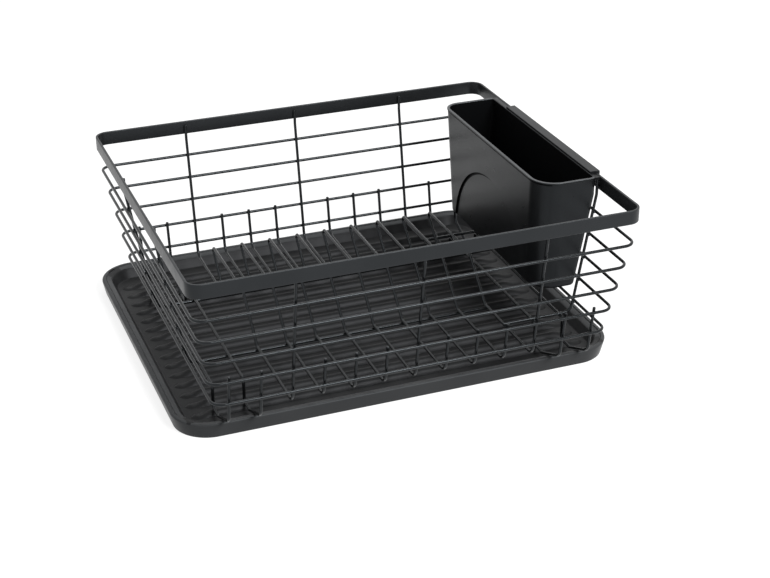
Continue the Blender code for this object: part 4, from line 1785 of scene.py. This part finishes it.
    def relief(self) -> bpy.types.Object:
        """Build the disc that sinks the round relief into the broad face.

        Its inner cap is divided by a second circle off its centre, which leaves a crescent along the step for painted
        shade.

        Returns:
            The disc's object.
        """
        half = self.relief_overrun / 2
        tilt = math.atan2(self.face_draft, self.height)
        face = self.face_top + self.face_draft + self.relief_centre_drop * math.tan(tilt)
        sink = (self.relief_depth - half) / math.cos(tilt)
        shift_y, shift_z = self.relief_shade_shift
        circles = (
            (self.relief_radius, -half, 0.0, 0.0),
            (self.relief_radius, half, 0.0, 0.0),
            # This circle bounds the crescent of painted shade along the step
            (self.clear_radius - self.relief_shade_clearance, half, -shift_z, shift_y),
        )
        angles = [math.tau * step / self.relief_sides for step in range(self.relief_sides)]
        loops = [
            [Vector((x + radius * math.cos(angle), y + radius * math.sin(angle), level)) for angle in angles]
            for radius, level, x, y in circles
        ]
        item = new_object("relief_part", loft_mesh("relief_part", loops))
        item.location = self.basket.at(face + sink, self.place, self.base - self.relief_centre_drop)
        item.rotation_euler = (0.0, math.pi / 2 - tilt, 0.0)
        return item

    def lines_pot(self, place: Vector, normal: Vector) -> bool:
        """Whether a face belongs to the pot's inner wall or its floor, which get painted shade.

        Args:
            place: The face's middle.
            normal: The face's normal.

        Returns:
            True for such a face.
        """
        base = self.basket.base + self.base
        within = base + self.floor * 0.5 < place.z < base + self.height - self.bead_height
        inwards = (self.middle - place.xy).dot(normal.xy) > 0 and abs(normal.z) < 0.5
        floor = normal.z > 0.7 and place.z < base + self.floor * 2
        return within and (inwards or floor)

    def edges_relief(self, place: Vector, normal: Vector) -> bool:
        """Whether a face is on the relief's step or in the crescent beside it, which get painted shade.

        Args:
            place: The face's middle.
            normal: The face's normal.

        Returns:
            True for such a face.
        """
        centre = Vector((self.middle.y, self.basket.base + self.base - self.relief_centre_drop))
        flat = Vector((place.y, place.z)) - centre
        near_rim = abs(flat.length - self.relief_radius) < self.relief_depth / 4
        step = near_rim and abs(normal.x) < 0.3
        sunk = place.x > self.face_top + self.face_draft + self.relief_depth * 0.4 and normal.x < -0.7
        from_clear = (flat - Vector(self.relief_shade_shift)).length
        beside_clear = from_clear > self.clear_radius - self.relief_shade_clearance * 3
        crescent = sunk and beside_clear and flat.length < self.relief_radius
        return place.x < self.middle.x and (step or crescent)

    def under_bead(self, place: Vector, normal: Vector) -> bool:
        """Whether a face is in the thin line of painted shade under the bead, on the broad face.

        Args:
            place: The face's middle.
            normal: The face's normal.

        Returns:
            True for such a face.
        """
        under = self.basket.base + self.basket.height - self.bead_height
        level = under - self.bead_shade < place.z < under + self.bead * 0.6
        return level and normal.x < -0.45 and place.x < self.middle.x

    def is_painted_shade(self, place: Vector, normal: Vector) -> bool:
        """Whether a face gets the near-black finish that paints shade inside the pot, along the relief's step and
        under the bead.

        Args:
            place: The face's middle.
            normal: The face's normal.

        Returns:
            True for such a face.
        """
        tests = (self.lines_pot, self.edges_relief, self.under_bead)
        return any(test(place, normal) for test in tests)

    def is_painted_highlight(self, place: Vector, normal: Vector) -> bool:
        """Whether a face is on the bead round the mouth, which gets a lighter finish as a painted highlight.

        Args:
            place: The face's middle.
            normal: The face's normal.

        Returns:
            True for such a face.
        """
        top = self.basket.base + self.basket.height
        on_pot = place.x < self.outer_place(self.basket.height) - self.wall
        return on_pot and top - self.bead_height < place.z < top + self.seat_gap and normal.z > 0.3

    def build(self, effects: FinishEffects) -> None:
        """Build and dress the caddy.

        Args:
            effects: The shared shader groups.
        """
        material = CADDY_MOULDING.material(effects)
        caddy = self.pot(material)
        combine(caddy, self.shelf(material), "UNION")
        combine(caddy, self.hook(material), "UNION")
        combine(caddy, self.relief(), "DIFFERENCE")
        middle_x = (self.outer_place(self.base) + self.face_top + self.face_draft) / 2
        middle_y = self.place + (self.front_draft - self.back_draft) / 2
        for number in range(self.hole_count):
            y = middle_y + (number - (self.hole_count - 1) / 2) * self.hole_pitch
            combine(caddy, self.drain_hole(middle_x, y), "DIFFERENCE")
        bevel = caddy.modifiers.new("soft_edges", "BEVEL")
        bevel.width = self.soft_edge
        bevel.segments = self.soft_edge_segments
        bevel.limit_method = "ANGLE"
        bevel.angle_limit = math.radians(self.soft_edge_angle)
        bake_modifiers(caddy)
        soften(caddy.data, self.smooth_angle)
        # Broad faces keep their own normals beside the small rounded edges
        even = caddy.modifiers.new("even_shading", "WEIGHTED_NORMAL")
        even.keep_sharp = True
        bake_modifiers(caddy)
        # Painted shade: the near-black finish inside the pot, along the relief's step and under the bead
        add_finish(caddy.data, CADDY_PAINTED_SHADE.material(effects), self.is_painted_shade)
        # Painted highlight: a lighter finish on the bead round the mouth
        add_finish(caddy.data, CADDY_RIM_HIGHLIGHT.material(effects), self.is_painted_highlight)
        caddy.data.name = "cutlery_caddy_moulding"
        settle(caddy, Body.CADDY, Slot.CADDY, "cutlery_caddy")


# ---- studio ---------------------------------------------------------------------------------------------------


@dataclass(frozen=True)
class SoftBox:
    """One large soft lamp.

    Attributes:
        name: Name of the lamp.
        place: Where it hangs.
        aim: What it points at.
        size: Its width and height.
        power: Its power in watts.
    """

    name: str
    place: Triple
    aim: Triple
    size: Pair
    power: float

    def build(self) -> None:
        """Hang the lamp."""
        data = bpy.data.lights.new(self.name, "AREA")
        data.shape = "RECTANGLE"
        data.size, data.size_y = self.size
        data.energy = self.power
        lamp = bpy.data.objects.new(self.name, data)
        lamp.location = self.place
        lamp.rotation_euler = (Vector(self.aim) - Vector(self.place)).to_track_quat("-Z", "Y").to_euler()
        bpy.context.scene.collection.objects.link(lamp)


@dataclass
class Studio:
    """Camera at the photograph's place, a white floor and soft light."""

    camera_place: Triple = (-0.3964, -1.11585, 0.6376)
    camera_turn: Triple = (63.2394, 0.3434, -20.8728)
    sensor: float = 36.0
    lens: float = 75.39
    shift: Pair = (0.00705, -0.00801)
    floor_size: float = 14.0
    floor_level: float = -0.0002
    floor_colour: Colour = (0.34, 0.34, 0.34)
    floor_roughness: float = 0.9
    floor_lift: float = 0.80
    world_light: float = 0.34
    lamps: tuple[SoftBox, ...] = (
        SoftBox("left_softbox", (-1.5, -0.1, 1.6), (0.0, 0.0, 0.05), (1.4, 1.0), 4.0),
        SoftBox("top_softbox", (0.4, 1.2, 1.8), (0.0, 0.0, 0.05), (1.4, 0.9), 10.0),
        SoftBox("front_softbox", (0.55, -1.5, 1.4), (0.0, 0.0, 0.05), (0.9, 0.6), 43.0),
    )

    def camera(self) -> None:
        """Set up the camera."""
        data = bpy.data.cameras.new("photo_camera")
        data.sensor_width = self.sensor
        data.lens = self.lens
        data.shift_x, data.shift_y = self.shift
        camera = bpy.data.objects.new("photo_camera", data)
        camera.location = self.camera_place
        camera.rotation_euler = [math.radians(angle) for angle in self.camera_turn]
        bpy.context.scene.collection.objects.link(camera)
        bpy.context.scene.camera = camera

    @staticmethod
    def seen(graph: Graph) -> bpy.types.NodeSocket:
        """1 for what the camera sees, directly, in a gloss or through glass, and 0 for other light.

        Args:
            graph: The graph that gets the nodes.

        Returns:
            The value's socket.
        """
        path = graph.add("ShaderNodeLightPath")
        first = graph.math("ADD", path.outputs["Is Camera Ray"], path.outputs["Is Glossy Ray"])
        return graph.math("ADD", first, path.outputs["Is Transmission Ray"], clamp=True)

    def world(self) -> None:
        """White surroundings, with a plain level of light."""
        world = bpy.data.worlds.new("studio_world")
        bpy.context.scene.world = world
        world.use_nodes = True
        graph = Graph(world.node_tree)
        background = world.node_tree.nodes["Background"]
        background.inputs["Color"].default_value = (1.0, 1.0, 1.0, 1.0)
        level = graph.math("MULTIPLY_ADD", self.seen(graph), 1.0 - self.world_light, self.world_light)
        graph.feed(background.inputs["Strength"], level)

    def floor(self) -> None:
        """Pale floor that keeps the object's shadow."""
        half = self.floor_size / 2
        corners = [(x, y, self.floor_level) for x, y in ((-half, -half), (half, -half), (half, half), (-half, half))]
        mesh = bpy.data.meshes.new("studio_floor")
        mesh.from_pydata(corners, [], [(0, 1, 2, 3)])
        material = bpy.data.materials.new("pale_floor")
        material.use_nodes = True
        graph = Graph(material.node_tree)
        shader = material.node_tree.nodes["Principled BSDF"]
        shader.inputs["Base Color"].default_value = (*self.floor_colour, 1.0)
        shader.inputs["Roughness"].default_value = self.floor_roughness
        shader.inputs["Specular IOR Level"].default_value = 0.0
        shader.inputs["Emission Color"].default_value = (1.0, 1.0, 1.0, 1.0)
        graph.feed(shader.inputs["Emission Strength"], graph.math("MULTIPLY", self.seen(graph), self.floor_lift))
        new_object("studio_floor", mesh, material)

    def build(self) -> None:
        """Set up the whole studio."""
        self.camera()
        self.world()
        self.floor()
        for lamp in self.lamps:
            lamp.build()
        bpy.context.scene.view_settings.view_transform = "Standard"


def main() -> None:
    """Build the studio and the three sub-assemblies in order."""
    logging.basicConfig(level=logging.INFO, format="%(message)s")
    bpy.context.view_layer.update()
    Studio().build()
    effects = FinishEffects()
    forms = Forms()
    basket = WireBasket()
    DripTray().build(forms, effects)
    basket.build(forms, effects)
    CutleryCaddy(basket).build(effects)


if __name__ == "__main__":
    main()
